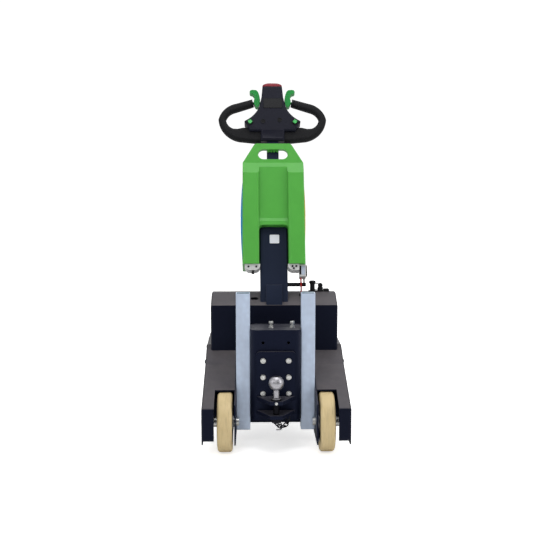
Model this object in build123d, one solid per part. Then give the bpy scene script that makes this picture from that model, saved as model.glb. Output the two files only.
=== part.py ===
from build123d import *
import os
from math import cos, radians, sin, tan

# Walk-behind electric tow tractor with a hitch column, a lift-off battery and a tiller. Millimetres.
# +Z is up, +X is the right-hand side seen from the hitch, and the hitch end faces -Y.
# Places along the machine are setbacks, counted backwards from the front skirts.
# A "rise" is counted up from the lower edge of the piece that it belongs to.

# The whole machine
skirt_front = -365.1
chassis_length = 600
plate_thickness = 4
overrun = 10
fit_gap = 0.05
running_gap = 0.05
seat_gap = 0.3

# Hitch column, which the guard bars, inner plates and wheel spaces are set out from
column_width = 172
column_depth = 120
column_setback = 97
column_bottom = 108
column_height = 305
column_radius = 22
column_wall = 5
cap_plate_thickness = 4
cap_plate_drop = 0.6
adjuster_hole_diameter = 10
adjuster_hole_drop = 43

# Guard bars
bar_width = 47
bar_depth = 40
bar_setback = 126
bar_bottom = 63
bar_height = 468
bar_edge = 2
bar_foot_radius = 3.5

# Drive wheels
wheel_diameter = 200
wheel_width = 50
wheel_clearance = 7
axle_setback = 100
tyre_shoulder = 10
rim_diameter = 136
rim_lip = 7
rim_web = 12
hub_diameter = 52
hub_overhang = 3
rim_hole_diameter = 18
rim_hole_circle = 88
rim_hole_count = 5
axle_diameter = 20
axle_nut_diameter = 26
axle_nut_height = 9
axle_head_height = 6
spacer_diameter = 34

# Inner plates and fenders
inner_plate_thickness = 5
inner_front_low = 8
inner_front_high = 26
inner_tail_setback = 190
inner_tail_rise = 53
wheel_space_width = 103
skirt_width = 41
skirt_rise = 23
tip_drop = 53
tip_setback = 12
arch_clearance = 5.3
fender_pitch = 20.94
fold_setback = 243
deck_rise = 51
deck_run = 34
wheel_space_end = 205
belly_setback = 262
fold_radius = 9

# Castors
castor_setback = 535
castor_inset = 100
castor_wheel_diameter = 125
castor_wheel_width = 32
castor_trail = 38
castor_top_clearance = 8.7
castor_crown_height = 10
castor_crown_diameter = 66
castor_race_height = 7
castor_race_diameter = 62
castor_plate_thickness = 4
castor_plate_length = 104
castor_plate_width = 86
castor_leg_thickness = 4
castor_leg_gap = 3
castor_leg_width = 58
castor_boss_diameter = 30
castor_axle_diameter = 12
castor_axle_head = 18
castor_axle_head_height = 4
castor_tyre_depth = 20.5
castor_shoulder = 7
castor_hub_diameter = 30
castor_hub_overhang = 2.5
castor_rim_web = 10

# Hitch plate, jaw and tow ball
hitch_width = 130
hitch_height = 220
hitch_thickness = 13
hitch_drop = 71
hitch_corner = 12
bolt_side_margin = 22.5
jaw_plate_thickness = 12
jaw_margin = 10
jaw_gap = 36
jaw_side_margin = 1
jaw_nose_width = 40
jaw_nose_setback = 10
jaw_nose_radius = 8
ball_diameter = 50
ball_flat = 3
neck_length = 32
neck_diameter = 19
collar_diameter = 34
collar_height = 8
shank_setback = 32
shank_diameter = 20
shank_nut_diameter = 30
shank_nut_height = 10
shank_tail = 4
clip_wire = 3
clip_reach = 17
clip_drop = 26
clip_bend = 6

# Chassis tray and drive unit
tray_gap = 1
tray_front_rise = 15
mudguard_rise = 29
motor_gap = 19
motor_diameter = 118
motor_length = 210
motor_foot = 12
gearbox_width = 70
gearbox_depth = 136
gearbox_height = 128

# Hood
hood_inset = 17.5
hood_front_inset = 54
hood_front_rise = 147
hood_slope = 23.5
hood_slope_depth = 84
hood_ridge_depth = 25
hood_tail_gap = 10
hood_panel_depth = 20
hood_panel_rise = 81
hood_wall = 2.5
hood_edge = 8
hood_hole_width = 24
hood_hole_depth = 14
hood_hole_side = 71
hood_hole_inset = 42

# Mast: places in its own leaning frame, where "up" counts along the mast from the hood's slope
mast_lean = 23.5
mast_setback = 370
mast_wall = 3
bracket_width = 58
bracket_depth = 14
bracket_height = 34
bracket_foot = 44
bracket_edge = 2
upright_width = 58
upright_depth = 44
post_gap = 4
post_width = 100
post_depth = 50
post_edge = 4
head_gap = 17
stem_width = 45
stem_depth = 34
stem_edge = 6

# Battery, its rises counted from its lower end
battery_lift = 106
battery_width = 228
battery_height = 485
battery_front = 65
battery_back = 36
battery_post_gap = 3
battery_web_front = 48
battery_web_back = 27
battery_lip_front = 54
battery_lip_height = 14
battery_facet_height = 52
battery_notch_rise = 152
battery_notch_radius = 14
battery_edge = 7
handle_height = 79
handle_front = 35.5
handle_back = 21
handle_top_width = 136
handle_corner = 16
slot_width = 112
slot_height = 41
slot_drop = 44
seat_width = 56
seat_height = 23
seat_corner = 19
seat_length = 40
seat_front = 60

# Battery connector, its arm and leads
arm_rise = 36
arm_height = 12
arm_depth = 14
arm_reach = 116
arm_front = 18
connector_width = 24
connector_height = 44
connector_depth = 40
connector_front = 52
connector_side = 91
connector_edge = 3
lead_diameter = 5.5
gland_diameter = 14
gland_height = 8
gland_side = 99
gland_inset = 8
black_lead_side = 109
black_lead_front = 17

# Tiller head, its rises counted from its lower end
head_height = 232
head_depth = 54
head_corner = 3
head_edge = 7
block_half = 45
block_rise = 42
wing_low_half = 88
wing_side_half = 100
wing_side_rise = 70
wing_tip_half = 109
wing_tip_rise = 84
flare_half = 74
flare_rise = 109
waist_half = 51
waist_rise = 144
neck_half = 42
neck_rise = 186
crown_half = 38
button_cap_width = 76
button_cap_depth = 46
button_cap_height = 16
button_cap_dome = 7

# Grip loops and thumb rockers
grip_reach = 208
grip_height = 185
grip_depth = 31
grip_edge = 13
rocker_width = 41
rocker_height = 74
rocker_gap = 5
rocker_rise = 149
rocker_depth = 24
rocker_pin_diameter = 10
rocker_pin_rise = 170
bezel_width = 20
bezel_height = 2
push_width = 14
push_height = 5
push_half = 86
push_rise = 77
push_turn = 35

# Charge socket and key switch on the hood's ridge
socket_side = 142
socket_diameter = 18
socket_height = 34
socket_flange_diameter = 30
socket_flange_height = 4
key_side = 171
key_diameter = 20
key_height = 16

# The grip's outline as shares of its reach and height, outside first and then inside
grip_outer_shares = {
    "end": (0.37, 1.0),
    "shoulder": (0.673, 0.897),
    "turn": (0.928, 0.714),
    "outermost": (1.0, 0.53),
    "low_turn": (0.875, 0.205),
    "belly": (0.615, 0.038),
    "foot": (0.308, 0.0),
    "root": (0.144, 0.0),
}
grip_inner_shares = {
    "root": (0.144, 0.346),
    "wing": (0.543, 0.346),
    "dip": (0.644, 0.319),
    "floor": (0.721, 0.324),
    "low_turn": (0.822, 0.411),
    "innermost": (0.856, 0.519),
    "turn": (0.798, 0.632),
    "shoulder": (0.688, 0.703),
    "end": (0.37, 0.827),
}

# A thumb rocker's outline as shares of its width and height, from its lower tip round its outside
rocker_shares = [
    (0.15, 0.0),
    (0.42, 0.03),
    (0.58, 0.2),
    (0.6, 0.36),
    (0.53, 0.5),
    (0.55, 0.64),
    (0.7, 0.76),
    (0.95, 0.81),
    (1.0, 0.88),
    (0.92, 0.97),
    (0.74, 1.0),
    (0.36, 0.98),
    (0.2, 0.88),
    (0.06, 0.64),
    (0.0, 0.39),
]

# The red lead's route from the connector to the gland, as (x, setback behind the mast, rise over the slope)
red_lead_route = [
    (97, -4.7, 71.6),
    (97, -11, 59.9),
    (98, -8.5, 39.0),
    (99, gland_inset, 19.0),
    (99, gland_inset, gland_height + fit_gap),
]
red_lead_radii = [30, 20, 11]

# Places worked out from the sizes above
column_half = column_width / 2
column_top = column_bottom + column_height
inner_plate_inside = column_half + bar_width
inner_plate_outside = inner_plate_inside + inner_plate_thickness
outer_half = inner_plate_outside + wheel_space_width + plate_thickness
skirt_inner = outer_half - skirt_width
wheel_middle = inner_plate_outside + wheel_clearance + wheel_width / 2
axle_height = wheel_diameter / 2
arch_top = wheel_diameter + arch_clearance + plate_thickness
front_slope = tan(radians(fender_pitch))
skirt_top = arch_top - axle_setback * front_slope
fold_height = arch_top + (fold_setback - axle_setback) * front_slope
plate_tip_height = axle_height - tip_drop
skirt_bottom = plate_tip_height + skirt_rise
deck_height = fold_height + deck_rise
hood_setback = mast_setback - hood_front_inset
deck_setback = hood_setback + deck_run
rear_slope = deck_rise / (deck_setback - fold_setback)
castor_middle = outer_half - castor_inset
castor_axle_height = castor_wheel_diameter / 2
castor_crown_low = castor_wheel_diameter + castor_top_clearance
castor_crown_top = castor_crown_low + castor_crown_height
castor_race_low = castor_crown_top + seat_gap
castor_plate_low = castor_race_low + castor_race_height
floor_height = castor_plate_low + castor_plate_thickness
floor_top = floor_height + plate_thickness
tray_front = column_setback + column_depth + tray_gap
tray_back = tray_front + plate_thickness
motor_setback = mast_setback + upright_depth / 2 + motor_gap + motor_diameter / 2
gland_setback = mast_setback + gland_inset
hood_hole_setback = hood_setback + hood_hole_inset
hood_half = outer_half - hood_inset
hood_front_height = deck_height + hood_front_rise
hood_ridge_setback = hood_setback + hood_slope_depth
hood_back_setback = chassis_length - hood_tail_gap
hood_panel_setback = hood_back_setback - hood_panel_depth
hitch_top = column_top - hitch_drop
hitch_bottom = hitch_top - hitch_height
hitch_front = column_setback - hitch_thickness
bolt_spacing_x = hitch_width - bolt_side_margin * 2
jaw_lower_top = hitch_bottom + jaw_margin + jaw_plate_thickness
jaw_upper_top = jaw_lower_top + jaw_gap + jaw_plate_thickness
ball_height = jaw_upper_top + neck_length + ball_diameter / 2
shank_bottom = jaw_lower_top - jaw_plate_thickness - shank_nut_height - shank_tail
post_half = post_width / 2
battery_up = battery_lift
battery_facet_high = battery_height - handle_height
battery_facet_low = battery_facet_high - battery_facet_height
slot_rise = battery_height - slot_drop
post_top_up = battery_up + battery_facet_high - post_gap
arm_top_up = arm_rise + arm_height
head_up = battery_up + battery_height + head_gap


def back(setback):
    """Y of a place that lies this far behind the front skirts."""
    return skirt_front + setback


def fender_height(setback):
    """Height of the fenders' top sheet at a setback."""
    if setback < fold_setback:
        return skirt_top + front_slope * setback
    return min(deck_height, fold_height + rear_slope * (setback - fold_setback))


def slope_height(setback):
    """Height of the hood's sloped front at a setback."""
    return hood_front_height + (setback - hood_setback) * tan(radians(hood_slope))


ridge_height = slope_height(hood_ridge_setback)


def box(x_range, setbacks, heights):
    """A plain block between two X, two setbacks and two heights."""
    size = [high - low for low, high in (x_range, setbacks, heights)]
    middle = [(high + low) / 2 for low, high in (x_range, setbacks, heights)]
    return Pos(middle[0], back(middle[1]), middle[2]) * Box(*size)


def side_profile(points, x_range):
    """A solid from an outline of (setback, height) points, between two X."""
    low, high = x_range
    outline = Polygon(*[(back(setback), height) for setback, height in points], align=None)
    return extrude(Plane.YZ.offset(low) * outline, high - low, dir=(1, 0, 0))


def lying_rod(diameter, x_range, setback, height):
    """A cylinder along X."""
    low, high = sorted(x_range)
    align = (Align.CENTER, Align.CENTER, Align.MIN)
    place = Location((low, back(setback), height), (0, 90, 0))
    return place * Cylinder(diameter / 2, high - low, align=align)


def standing_rod(diameter, heights, side, setback):
    """A cylinder that stands upright between two heights."""
    low, high = heights
    align = (Align.CENTER, Align.CENTER, Align.MIN)
    return Pos(side, back(setback), low) * Cylinder(diameter / 2, high - low, align=align)


def mirrored(solid):
    """The same piece on the machine's other side."""
    return mirror(solid, Plane.YZ)


# The mast's frame: X as the machine's, Y square to the mast towards the driver, Z up the mast
mast_frame = Plane(
    origin=(0, back(mast_setback), slope_height(mast_setback)),
    x_dir=(1, 0, 0),
    z_dir=(0, sin(radians(mast_lean)), cos(radians(mast_lean))),
)


def on_mast(solid):
    """Moves a piece that was drawn in the mast's frame to its place."""
    return mast_frame.location * solid


def mast_block(x_range, y_range, ups, edge=0):
    """A block in the mast's frame, its edges along the mast rounded."""
    size = [high - low for low, high in (x_range, y_range, ups)]
    middle = [(high + low) / 2 for low, high in (x_range, y_range, ups)]
    block = Pos(*middle) * Box(*size)
    if edge:
        block = fillet(block.edges().filter_by(Axis.Z), edge)
    return block


def mast_tubing(width, depth, ups, edge=0):
    """A block of a tube's outer section, centred on the mast's axis."""
    return mast_block((-width / 2, width / 2), (-depth / 2, depth / 2), ups, edge)


def mast_profile(points, x_range):
    """A solid from an outline of (y, up) points in the mast's frame, between two X."""
    low, high = x_range
    outline = Polygon(*points, align=None)
    return extrude(Plane.YZ.offset(low) * outline, high - low, dir=(1, 0, 0))


def facing_solid(face, y_range):
    """A solid from an outline drawn in (x, up), between two Y of the mast's frame."""
    low, high = y_range
    return Pos(0, low, 0) * extrude(Plane.XZ * face, high - low, dir=(0, 1, 0))


def under_slope(drop):
    """All that lies under the plane of the hood's sloped front, lowered by a drop."""
    near = hood_setback
    far = hood_back_setback
    points = [
        (near, floor_height),
        (far, floor_height),
        (far, slope_height(far) - drop),
        (near, slope_height(near) - drop),
    ]
    return side_profile(points, (-outer_half, outer_half))


def make_fender():
    """The right fender: outer plate, front skirt and sloped top folded from one sheet."""
    shell = side_profile(
        [
            (0, skirt_top),
            (0, skirt_bottom),
            (tip_setback, plate_tip_height),
            (wheel_space_end, plate_tip_height),
            (belly_setback, floor_height),
            (chassis_length, floor_height),
            (chassis_length, deck_height),
            (deck_setback, deck_height),
            (fold_setback, fold_height),
        ],
        (inner_plate_outside, outer_half),
    )
    outer_edges = shell.edges().filter_by_position(Axis.X, outer_half, outer_half)
    shell = fillet([edge for edge in outer_edges if edge.center().Z > skirt_top], fold_radius)
    front_edges = [
        edge
        for edge in shell.edges()
        if edge.center().Y < back(seat_gap) and edge.center().Z > skirt_bottom + seat_gap
    ]
    shell = fillet(front_edges, fold_radius)
    drop = plate_thickness
    hollow = side_profile(
        [
            (drop, skirt_top - drop),
            (drop, -overrun),
            (chassis_length + overrun, -overrun),
            (chassis_length + overrun, deck_height - drop),
            (deck_setback, deck_height - drop),
            (fold_setback, fold_height - drop),
        ],
        (inner_plate_outside - overrun, outer_half - plate_thickness),
    )
    cutout = box((inner_plate_outside - overrun, skirt_inner), (-overrun, axle_setback), (0, deck_height))
    bore = axle_diameter + fit_gap * 2
    hole = lying_rod(bore, (skirt_inner, outer_half + overrun), axle_setback, axle_height)
    return shell - hollow - cutout - hole


def make_inner_plate():
    """The right inner plate, which carries the axle in front and is a chassis rail behind."""
    drop = plate_thickness
    tail_end = chassis_length - plate_thickness
    points = [
        (inner_front_low, plate_tip_height),
        (inner_tail_setback, plate_tip_height),
        (tray_back, plate_tip_height + inner_tail_rise),
        (tray_back, floor_top),
        (tail_end, floor_top),
        (tail_end, deck_height - drop),
        (deck_setback, deck_height - drop),
        (fold_setback, fold_height - drop),
        (inner_front_high, fender_height(inner_front_high) - drop),
    ]
    plate = side_profile(points, (inner_plate_inside, inner_plate_outside))
    bore = axle_diameter + fit_gap * 2
    return plate - lying_rod(bore, (inner_plate_inside, inner_plate_outside), axle_setback, axle_height)


def make_tray():
    """Floor, front wall, rear wall and the walls behind the drive wheels, of welded sheet."""
    inside = outer_half - plate_thickness
    floor = box((-inside, inside), (tray_front, chassis_length), (floor_height, floor_top))
    front = box(
        (-inner_plate_inside, inner_plate_inside),
        (tray_front, tray_back),
        (plate_tip_height + tray_front_rise, fender_height(tray_front) - plate_thickness),
    )
    rear = box(
        (-inside, inside),
        (chassis_length - plate_thickness, chassis_length),
        (floor_height, deck_height - plate_thickness),
    )
    corner = box((inner_plate_inside, outer_half), (0, tray_back), (0, floor_top))
    tray = floor + front + rear - corner - mirrored(corner)
    mudguard = box(
        (inner_plate_outside, inside),
        (tray_front, tray_back),
        (plate_tip_height + mudguard_rise, fender_height(tray_front) - plate_thickness - seat_gap),
    )
    return tray + mudguard + mirrored(mudguard)


def make_front_cover():
    """The sloped sheet between the inner plates, from the tray's front wall to the mast upright."""
    drop = plate_thickness
    end = mast_setback - upright_depth / 2
    places = [tray_front, fold_setback, end]
    top = [(place, fender_height(place)) for place in places]
    under = [(place, fender_height(place) - drop) for place in reversed(places)]
    return side_profile(top + under, (-inner_plate_inside, inner_plate_inside))


def make_hood():
    """The hood: a folded cover with a sloped front, a narrow ridge and a sloped rear panel."""
    ridge_end = hood_ridge_setback + hood_ridge_depth
    panel_height = deck_height + hood_panel_rise
    shell = side_profile(
        [
            (hood_setback, fender_height(hood_setback)),
            (hood_setback, hood_front_height),
            (hood_ridge_setback, ridge_height),
            (ridge_end, ridge_height),
            (hood_panel_setback, panel_height),
            (hood_back_setback, deck_height),
            (deck_setback, deck_height),
        ],
        (-hood_half, hood_half),
    )
    side_edges = [
        edge
        for edge in shell.edges()
        if abs(abs(edge.center().X) - hood_half) < seat_gap and edge.center().Z > deck_height + overrun
    ]
    shell = fillet(side_edges, hood_edge)
    wall = hood_wall
    drop = wall / cos(radians(hood_slope))
    hollow = side_profile(
        [
            (hood_setback + wall, 0),
            (hood_setback + wall, slope_height(hood_setback + wall) - drop),
            (hood_ridge_setback, ridge_height - drop),
            (ridge_end, ridge_height - drop),
            (hood_panel_setback - wall, panel_height - drop),
            (hood_back_setback - wall, deck_height),
            (hood_back_setback - wall, 0),
        ],
        (-hood_half + wall, hood_half - wall),
    )
    place = Pos(-hood_hole_side, back(hood_hole_setback), slope_height(hood_hole_setback))
    slot = extrude(SlotOverall(hood_hole_width, hood_hole_depth), overrun, both=True)
    return shell - hollow - place * Rot(hood_slope, 0, 0) * slot


def make_upright():
    """The upright under the hood that carries the mast."""
    half = upright_width / 2
    near = mast_setback - upright_depth / 2
    far = mast_setback + upright_depth / 2
    upright = box((-half, half), (near, far), (floor_top, ridge_height))
    return upright & under_slope(hood_wall / cos(radians(hood_slope)))


def make_drive_unit():
    """Motor and gearbox under the hood, as one plain block on its foot."""
    radius = motor_diameter / 2
    half = motor_length / 2
    centre = floor_top + motor_foot + radius
    motor = lying_rod(motor_diameter, (-half, half), motor_setback, centre)
    foot = box((-half, half), (motor_setback - radius, motor_setback + radius), (floor_top, centre))
    gearbox = box(
        (-gearbox_width / 2, gearbox_width / 2),
        (motor_setback - gearbox_depth / 2, motor_setback + gearbox_depth / 2),
        (floor_top, floor_top + gearbox_height),
    )
    return motor + foot + gearbox


def column_bore():
    """The hitch column's inner outline."""
    shrink = column_wall * 2
    return RectangleRounded(column_width - shrink, column_depth - shrink, column_radius - column_wall)


def make_column():
    """The hitch column: a rounded box tube, open below, with two spare holes in its front."""
    ring = RectangleRounded(column_width, column_depth, column_radius) - column_bore()
    middle = back(column_setback + column_depth / 2)
    tube = Pos(0, middle, column_bottom) * extrude(ring, column_height)
    drill = Cylinder(adjuster_hole_diameter / 2, column_wall * 2)
    level = column_top - adjuster_hole_drop
    for side in (-1, 1):
        place = Location((side * bolt_spacing_x / 2, back(column_setback), level), (90, 0, 0))
        tube = tube - place * drill
    return tube


def make_column_cap():
    """The plate that closes the column's top, a little below its rim."""
    level = column_top - cap_plate_drop - cap_plate_thickness
    middle = back(column_setback + column_depth / 2)
    return Pos(0, middle, level) * extrude(column_bore(), cap_plate_thickness)


def make_bar():
    """The right guard bar: a box tube beside the column, closed at both ends."""
    bar = box(
        (column_half, inner_plate_inside),
        (bar_setback, bar_setback + bar_depth),
        (bar_bottom, bar_bottom + bar_height),
    )
    bar = fillet(bar.edges().filter_by(Axis.Z), bar_edge)
    return fillet(bar.faces().sort_by(Axis.Z)[0].edges(), bar_foot_radius)


def make_jaw(top):
    """One jaw plate, a blunt V in plan."""
    root = hitch_width / 2 - jaw_side_margin
    nose = jaw_nose_width / 2
    points = [
        (-root, back(hitch_front)),
        (root, back(hitch_front)),
        (nose, back(jaw_nose_setback)),
        (-nose, back(jaw_nose_setback)),
    ]
    outline = Polygon(*points, align=None)
    outline = fillet(outline.vertices().sort_by(Axis.Y)[0:2], jaw_nose_radius)
    low = top - jaw_plate_thickness
    plate = Pos(0, 0, low) * extrude(outline, jaw_plate_thickness, dir=(0, 0, 1))
    bore = shank_diameter + fit_gap * 2
    return plate - standing_rod(bore, (low - overrun, top + overrun), 0, shank_setback)


def make_hitch_plate():
    """The bolted hitch plate with its two jaw plates."""
    half = hitch_width / 2
    plate = box((-half, half), (hitch_front, column_setback), (hitch_bottom, hitch_top))
    plate = fillet(plate.edges().filter_by(Axis.Y), hitch_corner)
    return plate + make_jaw(jaw_upper_top) + make_jaw(jaw_lower_top)


def make_tow_ball():
    """The tow ball with its neck, collar, nut and shank through both jaw plates."""
    radius = ball_diameter / 2
    ball = Pos(0, back(shank_setback), ball_height) * Sphere(radius)
    flat_level = ball_height + radius - ball_flat
    lid_setbacks = (shank_setback - radius, shank_setback + radius)
    lid = box((-radius, radius), lid_setbacks, (flat_level, ball_height * 2))
    lower_face = jaw_lower_top - jaw_plate_thickness
    collar_top = jaw_upper_top + collar_height
    stack = [
        (neck_diameter, jaw_upper_top, ball_height),
        (collar_diameter, jaw_upper_top, collar_top),
        (shank_diameter, shank_bottom, jaw_upper_top),
        (shank_nut_diameter, lower_face - shank_nut_height, lower_face),
    ]
    piece = ball - lid
    for diameter, low, high in stack:
        piece = piece + standing_rod(diameter, (low, high), 0, shank_setback)
    return piece


def make_clip():
    """The spring clip that hangs below the shank."""
    high = shank_bottom - clip_wire / 2
    low = shank_bottom - clip_drop
    place = back(shank_setback)
    corners = [(0, high), (clip_reach, high), (clip_reach, low), (0, low)]
    path = FilletPolyline(*[(x, place, height) for x, height in corners], radius=clip_bend)
    section = Plane(origin=path @ 0, z_dir=path % 0) * Circle(clip_wire / 2)
    return sweep(section, path)


def make_tyre(middle, diameter, width, depth, shoulder, setback):
    """A solid tyre with rounded shoulders, turned about a lying axle."""
    outline = Pos(middle, (diameter - depth) / 2) * Rectangle(width, depth)
    outline = fillet(outline.vertices().sort_by(Axis.Y)[2:4], shoulder)
    return Pos(0, back(setback), diameter / 2) * revolve(outline, Axis.X)


def make_rim(middle, diameter, sizes, setback, height):
    """A wheel's rim, web and hub with its bore. Sizes: rim width, web, hub diameter, hub width, bore."""
    width, web, hub, hub_width, bore = sizes
    outside = diameter - fit_gap * 2
    inside = outside - rim_lip * 2
    rim = lying_rod(outside, (middle - width / 2, middle + width / 2), setback, height)
    for side in (-1, 1):
        dish = (middle + side * web / 2, middle + side * width)
        rim = rim - lying_rod(inside, dish, setback, height)
    rim = rim + lying_rod(hub, (middle - hub_width / 2, middle + hub_width / 2), setback, height)
    return rim - lying_rod(bore, (middle - width, middle + width), setback, height)


def make_drive_tyre():
    """The right drive wheel's tyre."""
    depth = (wheel_diameter - rim_diameter) / 2
    return make_tyre(wheel_middle, wheel_diameter, wheel_width, depth, tyre_shoulder, axle_setback)


def make_drive_rim():
    """The right drive wheel's cast rim, lightened by a ring of holes."""
    hub_width = wheel_width + hub_overhang * 2
    bore = axle_diameter + running_gap * 2
    sizes = (wheel_width, rim_web, hub_diameter, hub_width, bore)
    rim = make_rim(wheel_middle, rim_diameter, sizes, axle_setback, axle_height)
    drill = Pos(0, rim_hole_circle / 2, 0) * Rot(0, 90, 0) * Cylinder(rim_hole_diameter / 2, wheel_width)
    centre = Location((wheel_middle, back(axle_setback), axle_height))
    for number in range(rim_hole_count):
        turn = number * 360 / rim_hole_count
        rim = rim - centre * Rot(turn, 0, 0) * drill
    return rim


def make_axle():
    """The right drive wheel's axle bolt with its head, nut and spacers."""
    hub_half = wheel_width / 2 + hub_overhang + seat_gap
    nut_end = inner_plate_inside - axle_nut_height
    stack = [
        (axle_diameter, nut_end, outer_half),
        (axle_nut_diameter, nut_end, inner_plate_inside),
        (spacer_diameter, inner_plate_outside, wheel_middle - hub_half),
        (spacer_diameter, wheel_middle + hub_half, outer_half - plate_thickness),
    ]
    head_range = (outer_half, outer_half + axle_head_height)
    head = lying_rod(axle_nut_diameter, head_range, axle_setback, axle_height)
    piece = fillet(head.faces().sort_by(Axis.X)[-1].edges(), axle_head_height / 2)
    for diameter, low, high in stack:
        piece = piece + lying_rod(diameter, (low, high), axle_setback, axle_height)
    return piece


def make_castor_plate():
    """The right castor's top plate with the fixed half of its race."""
    half_width = castor_plate_width / 2
    half_length = castor_plate_length / 2
    plate = box(
        (castor_middle - half_width, castor_middle + half_width),
        (castor_setback - half_length, castor_setback + half_length),
        (castor_plate_low, floor_height),
    )
    heights = (castor_race_low, castor_plate_low)
    return plate + standing_rod(castor_race_diameter, heights, castor_middle, castor_setback)


def make_castor_fork():
    """The right castor's fork: crown, two tapered legs and the wheel's axle."""
    wheel_setback = castor_setback - castor_trail
    inside = castor_wheel_width / 2 + castor_leg_gap
    outside = inside + castor_leg_thickness
    half_leg = castor_leg_width / 2
    half_boss = castor_boss_diameter / 2
    heights = (castor_crown_low, castor_crown_top)
    fork = standing_rod(castor_crown_diameter, heights, castor_middle, castor_setback)
    bridge = box(
        (castor_middle - outside, castor_middle + outside),
        (castor_setback - half_leg, castor_setback + half_leg),
        heights,
    )
    fork = fork + bridge
    leg_outline = [
        (castor_setback - half_leg, castor_crown_top),
        (castor_setback + half_leg, castor_crown_top),
        (wheel_setback + half_boss, castor_axle_height),
        (wheel_setback - half_boss, castor_axle_height),
    ]
    for hand in (-1, 1):
        x_range = sorted((castor_middle + hand * inside, castor_middle + hand * outside))
        head_end = castor_middle + hand * (outside + castor_axle_head_height)
        head_range = (castor_middle + hand * outside, head_end)
        fork = fork + side_profile(leg_outline, x_range)
        fork = fork + lying_rod(castor_boss_diameter, x_range, wheel_setback, castor_axle_height)
        fork = fork + lying_rod(castor_axle_head, head_range, wheel_setback, castor_axle_height)
    axle_range = (castor_middle - outside, castor_middle + outside)
    return fork + lying_rod(castor_axle_diameter, axle_range, wheel_setback, castor_axle_height)


def make_castor_tyre():
    """The right castor wheel's tyre."""
    sizes = (castor_wheel_diameter, castor_wheel_width, castor_tyre_depth, castor_shoulder)
    return make_tyre(castor_middle, *sizes, castor_setback - castor_trail)


def make_castor_rim():
    """The right castor wheel's rim and hub."""
    hub_width = castor_wheel_width + castor_hub_overhang * 2
    bore = castor_axle_diameter + running_gap * 2
    sizes = (castor_wheel_width, castor_rim_web, castor_hub_diameter, hub_width, bore)
    diameter = castor_wheel_diameter - castor_tyre_depth * 2
    return make_rim(castor_middle, diameter, sizes, castor_setback - castor_trail, castor_axle_height)


def make_mast_bracket():
    """The bracket that holds the battery post's foot from the front."""
    half = bracket_width / 2
    y_range = (-post_depth / 2 - bracket_depth, -post_depth / 2)
    bracket = mast_block((-half, half), y_range, (-bracket_foot, bracket_height))
    front_edges = bracket.faces().sort_by(Axis.Y)[0].edges()
    return on_mast(fillet(front_edges, bracket_edge)) - under_slope(0)


def make_battery_post():
    """The wide box tube that stands on the hood and carries the battery, closed above."""
    post = mast_tubing(post_width, post_depth, (-post_depth, post_top_up), post_edge)
    hollow_ups = (-post_depth - overrun, post_top_up - mast_wall)
    hollow = mast_tubing(post_width - mast_wall * 2, post_depth - mast_wall * 2, hollow_ups)
    hole_ups = (post_top_up - mast_wall, post_top_up + overrun)
    stem_hole = mast_tubing(stem_width, stem_depth, hole_ups, stem_edge)
    return on_mast(post - hollow - stem_hole) - under_slope(0)


def make_stem():
    """The narrow stem from the battery post's top to the tiller head."""
    return on_mast(mast_tubing(stem_width, stem_depth, (post_top_up - post_depth, head_up), stem_edge))


def make_battery():
    """The lift-off battery: two shoulders, a recessed web, a notch and a handle plate with a slot."""
    half = battery_width / 2
    inside = post_half + battery_post_gap
    facet_low = battery_up + battery_facet_low
    facet_high = battery_up + battery_facet_high
    facet_run = (battery_front - handle_front) / (facet_high - facet_low)
    web_facet = facet_low + (battery_front - battery_web_front) / facet_run
    case = None
    for hand in (-1, 1):
        lobe = mast_profile(
            [
                (-battery_front, battery_up),
                (battery_back, battery_up),
                (battery_back, facet_high),
                (-handle_front, facet_high),
                (-battery_front, facet_low),
            ],
            sorted((hand * inside, hand * half)),
        )
        lobe = fillet(lobe.edges().filter_by(Axis.Z), battery_edge)
        case = lobe if case is None else case + lobe
    notch_top = battery_up + battery_notch_rise
    web = mast_profile(
        [
            (-battery_web_back, notch_top - battery_notch_radius),
            (-battery_web_back, facet_high),
            (-handle_front, facet_high),
            (-battery_web_front, web_facet),
            (-battery_web_front, notch_top + battery_lip_height * 2),
            (-battery_lip_front, notch_top + battery_lip_height),
            (-battery_lip_front, notch_top - battery_notch_radius),
        ],
        (-inside - battery_edge, inside + battery_edge),
    )
    notch = mast_block((-inside, inside), (-battery_front, battery_back), (0, notch_top))
    corners = notch.faces().sort_by(Axis.Z)[-1].edges().filter_by(Axis.Y)
    notch = fillet(corners, battery_notch_radius)
    root = half
    top = handle_top_width / 2
    handle = Polygon(
        (-root, facet_high),
        (root, facet_high),
        (top, battery_up + battery_height),
        (-top, battery_up + battery_height),
        align=None,
    )
    handle = fillet(handle.vertices().sort_by(Axis.Y)[2:4], handle_corner)
    slot = Pos(0, battery_up + slot_rise) * SlotOverall(slot_width, slot_height)
    plate = facing_solid(handle - slot, (-handle_front, -handle_back))
    return on_mast(case + (web - notch) + plate)


def make_battery_seats():
    """Two cradles beside the post, on which the battery's shoulders stand."""
    all_round = (-battery_width, battery_width)
    above = mast_block(all_round, all_round, (battery_up, battery_up + battery_height))
    connector_room = mast_block(
        (connector_side - running_gap, battery_width),
        (-battery_front, -connector_front + connector_depth + running_gap),
        (0, battery_up),
    )
    seats = []
    for hand in (-1, 1):
        outline = RectangleRounded(seat_width, seat_height * 2, seat_corner)
        place = Pos(hand * (post_half + seat_width / 2), battery_up)
        cradle = facing_solid(place * outline, (-seat_front, seat_length - seat_front))
        seats.append(cradle - above - connector_room)
    return on_mast(Compound(seats))


def make_arm():
    """The arm beside the mast's foot, under the battery connector."""
    low = post_half
    ups = (arm_rise, arm_top_up)
    arm = mast_block((low, arm_reach), (-arm_front, -arm_front + arm_depth), ups)
    return on_mast(fillet(arm.edges().filter_by(Axis.X), connector_edge))


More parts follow.
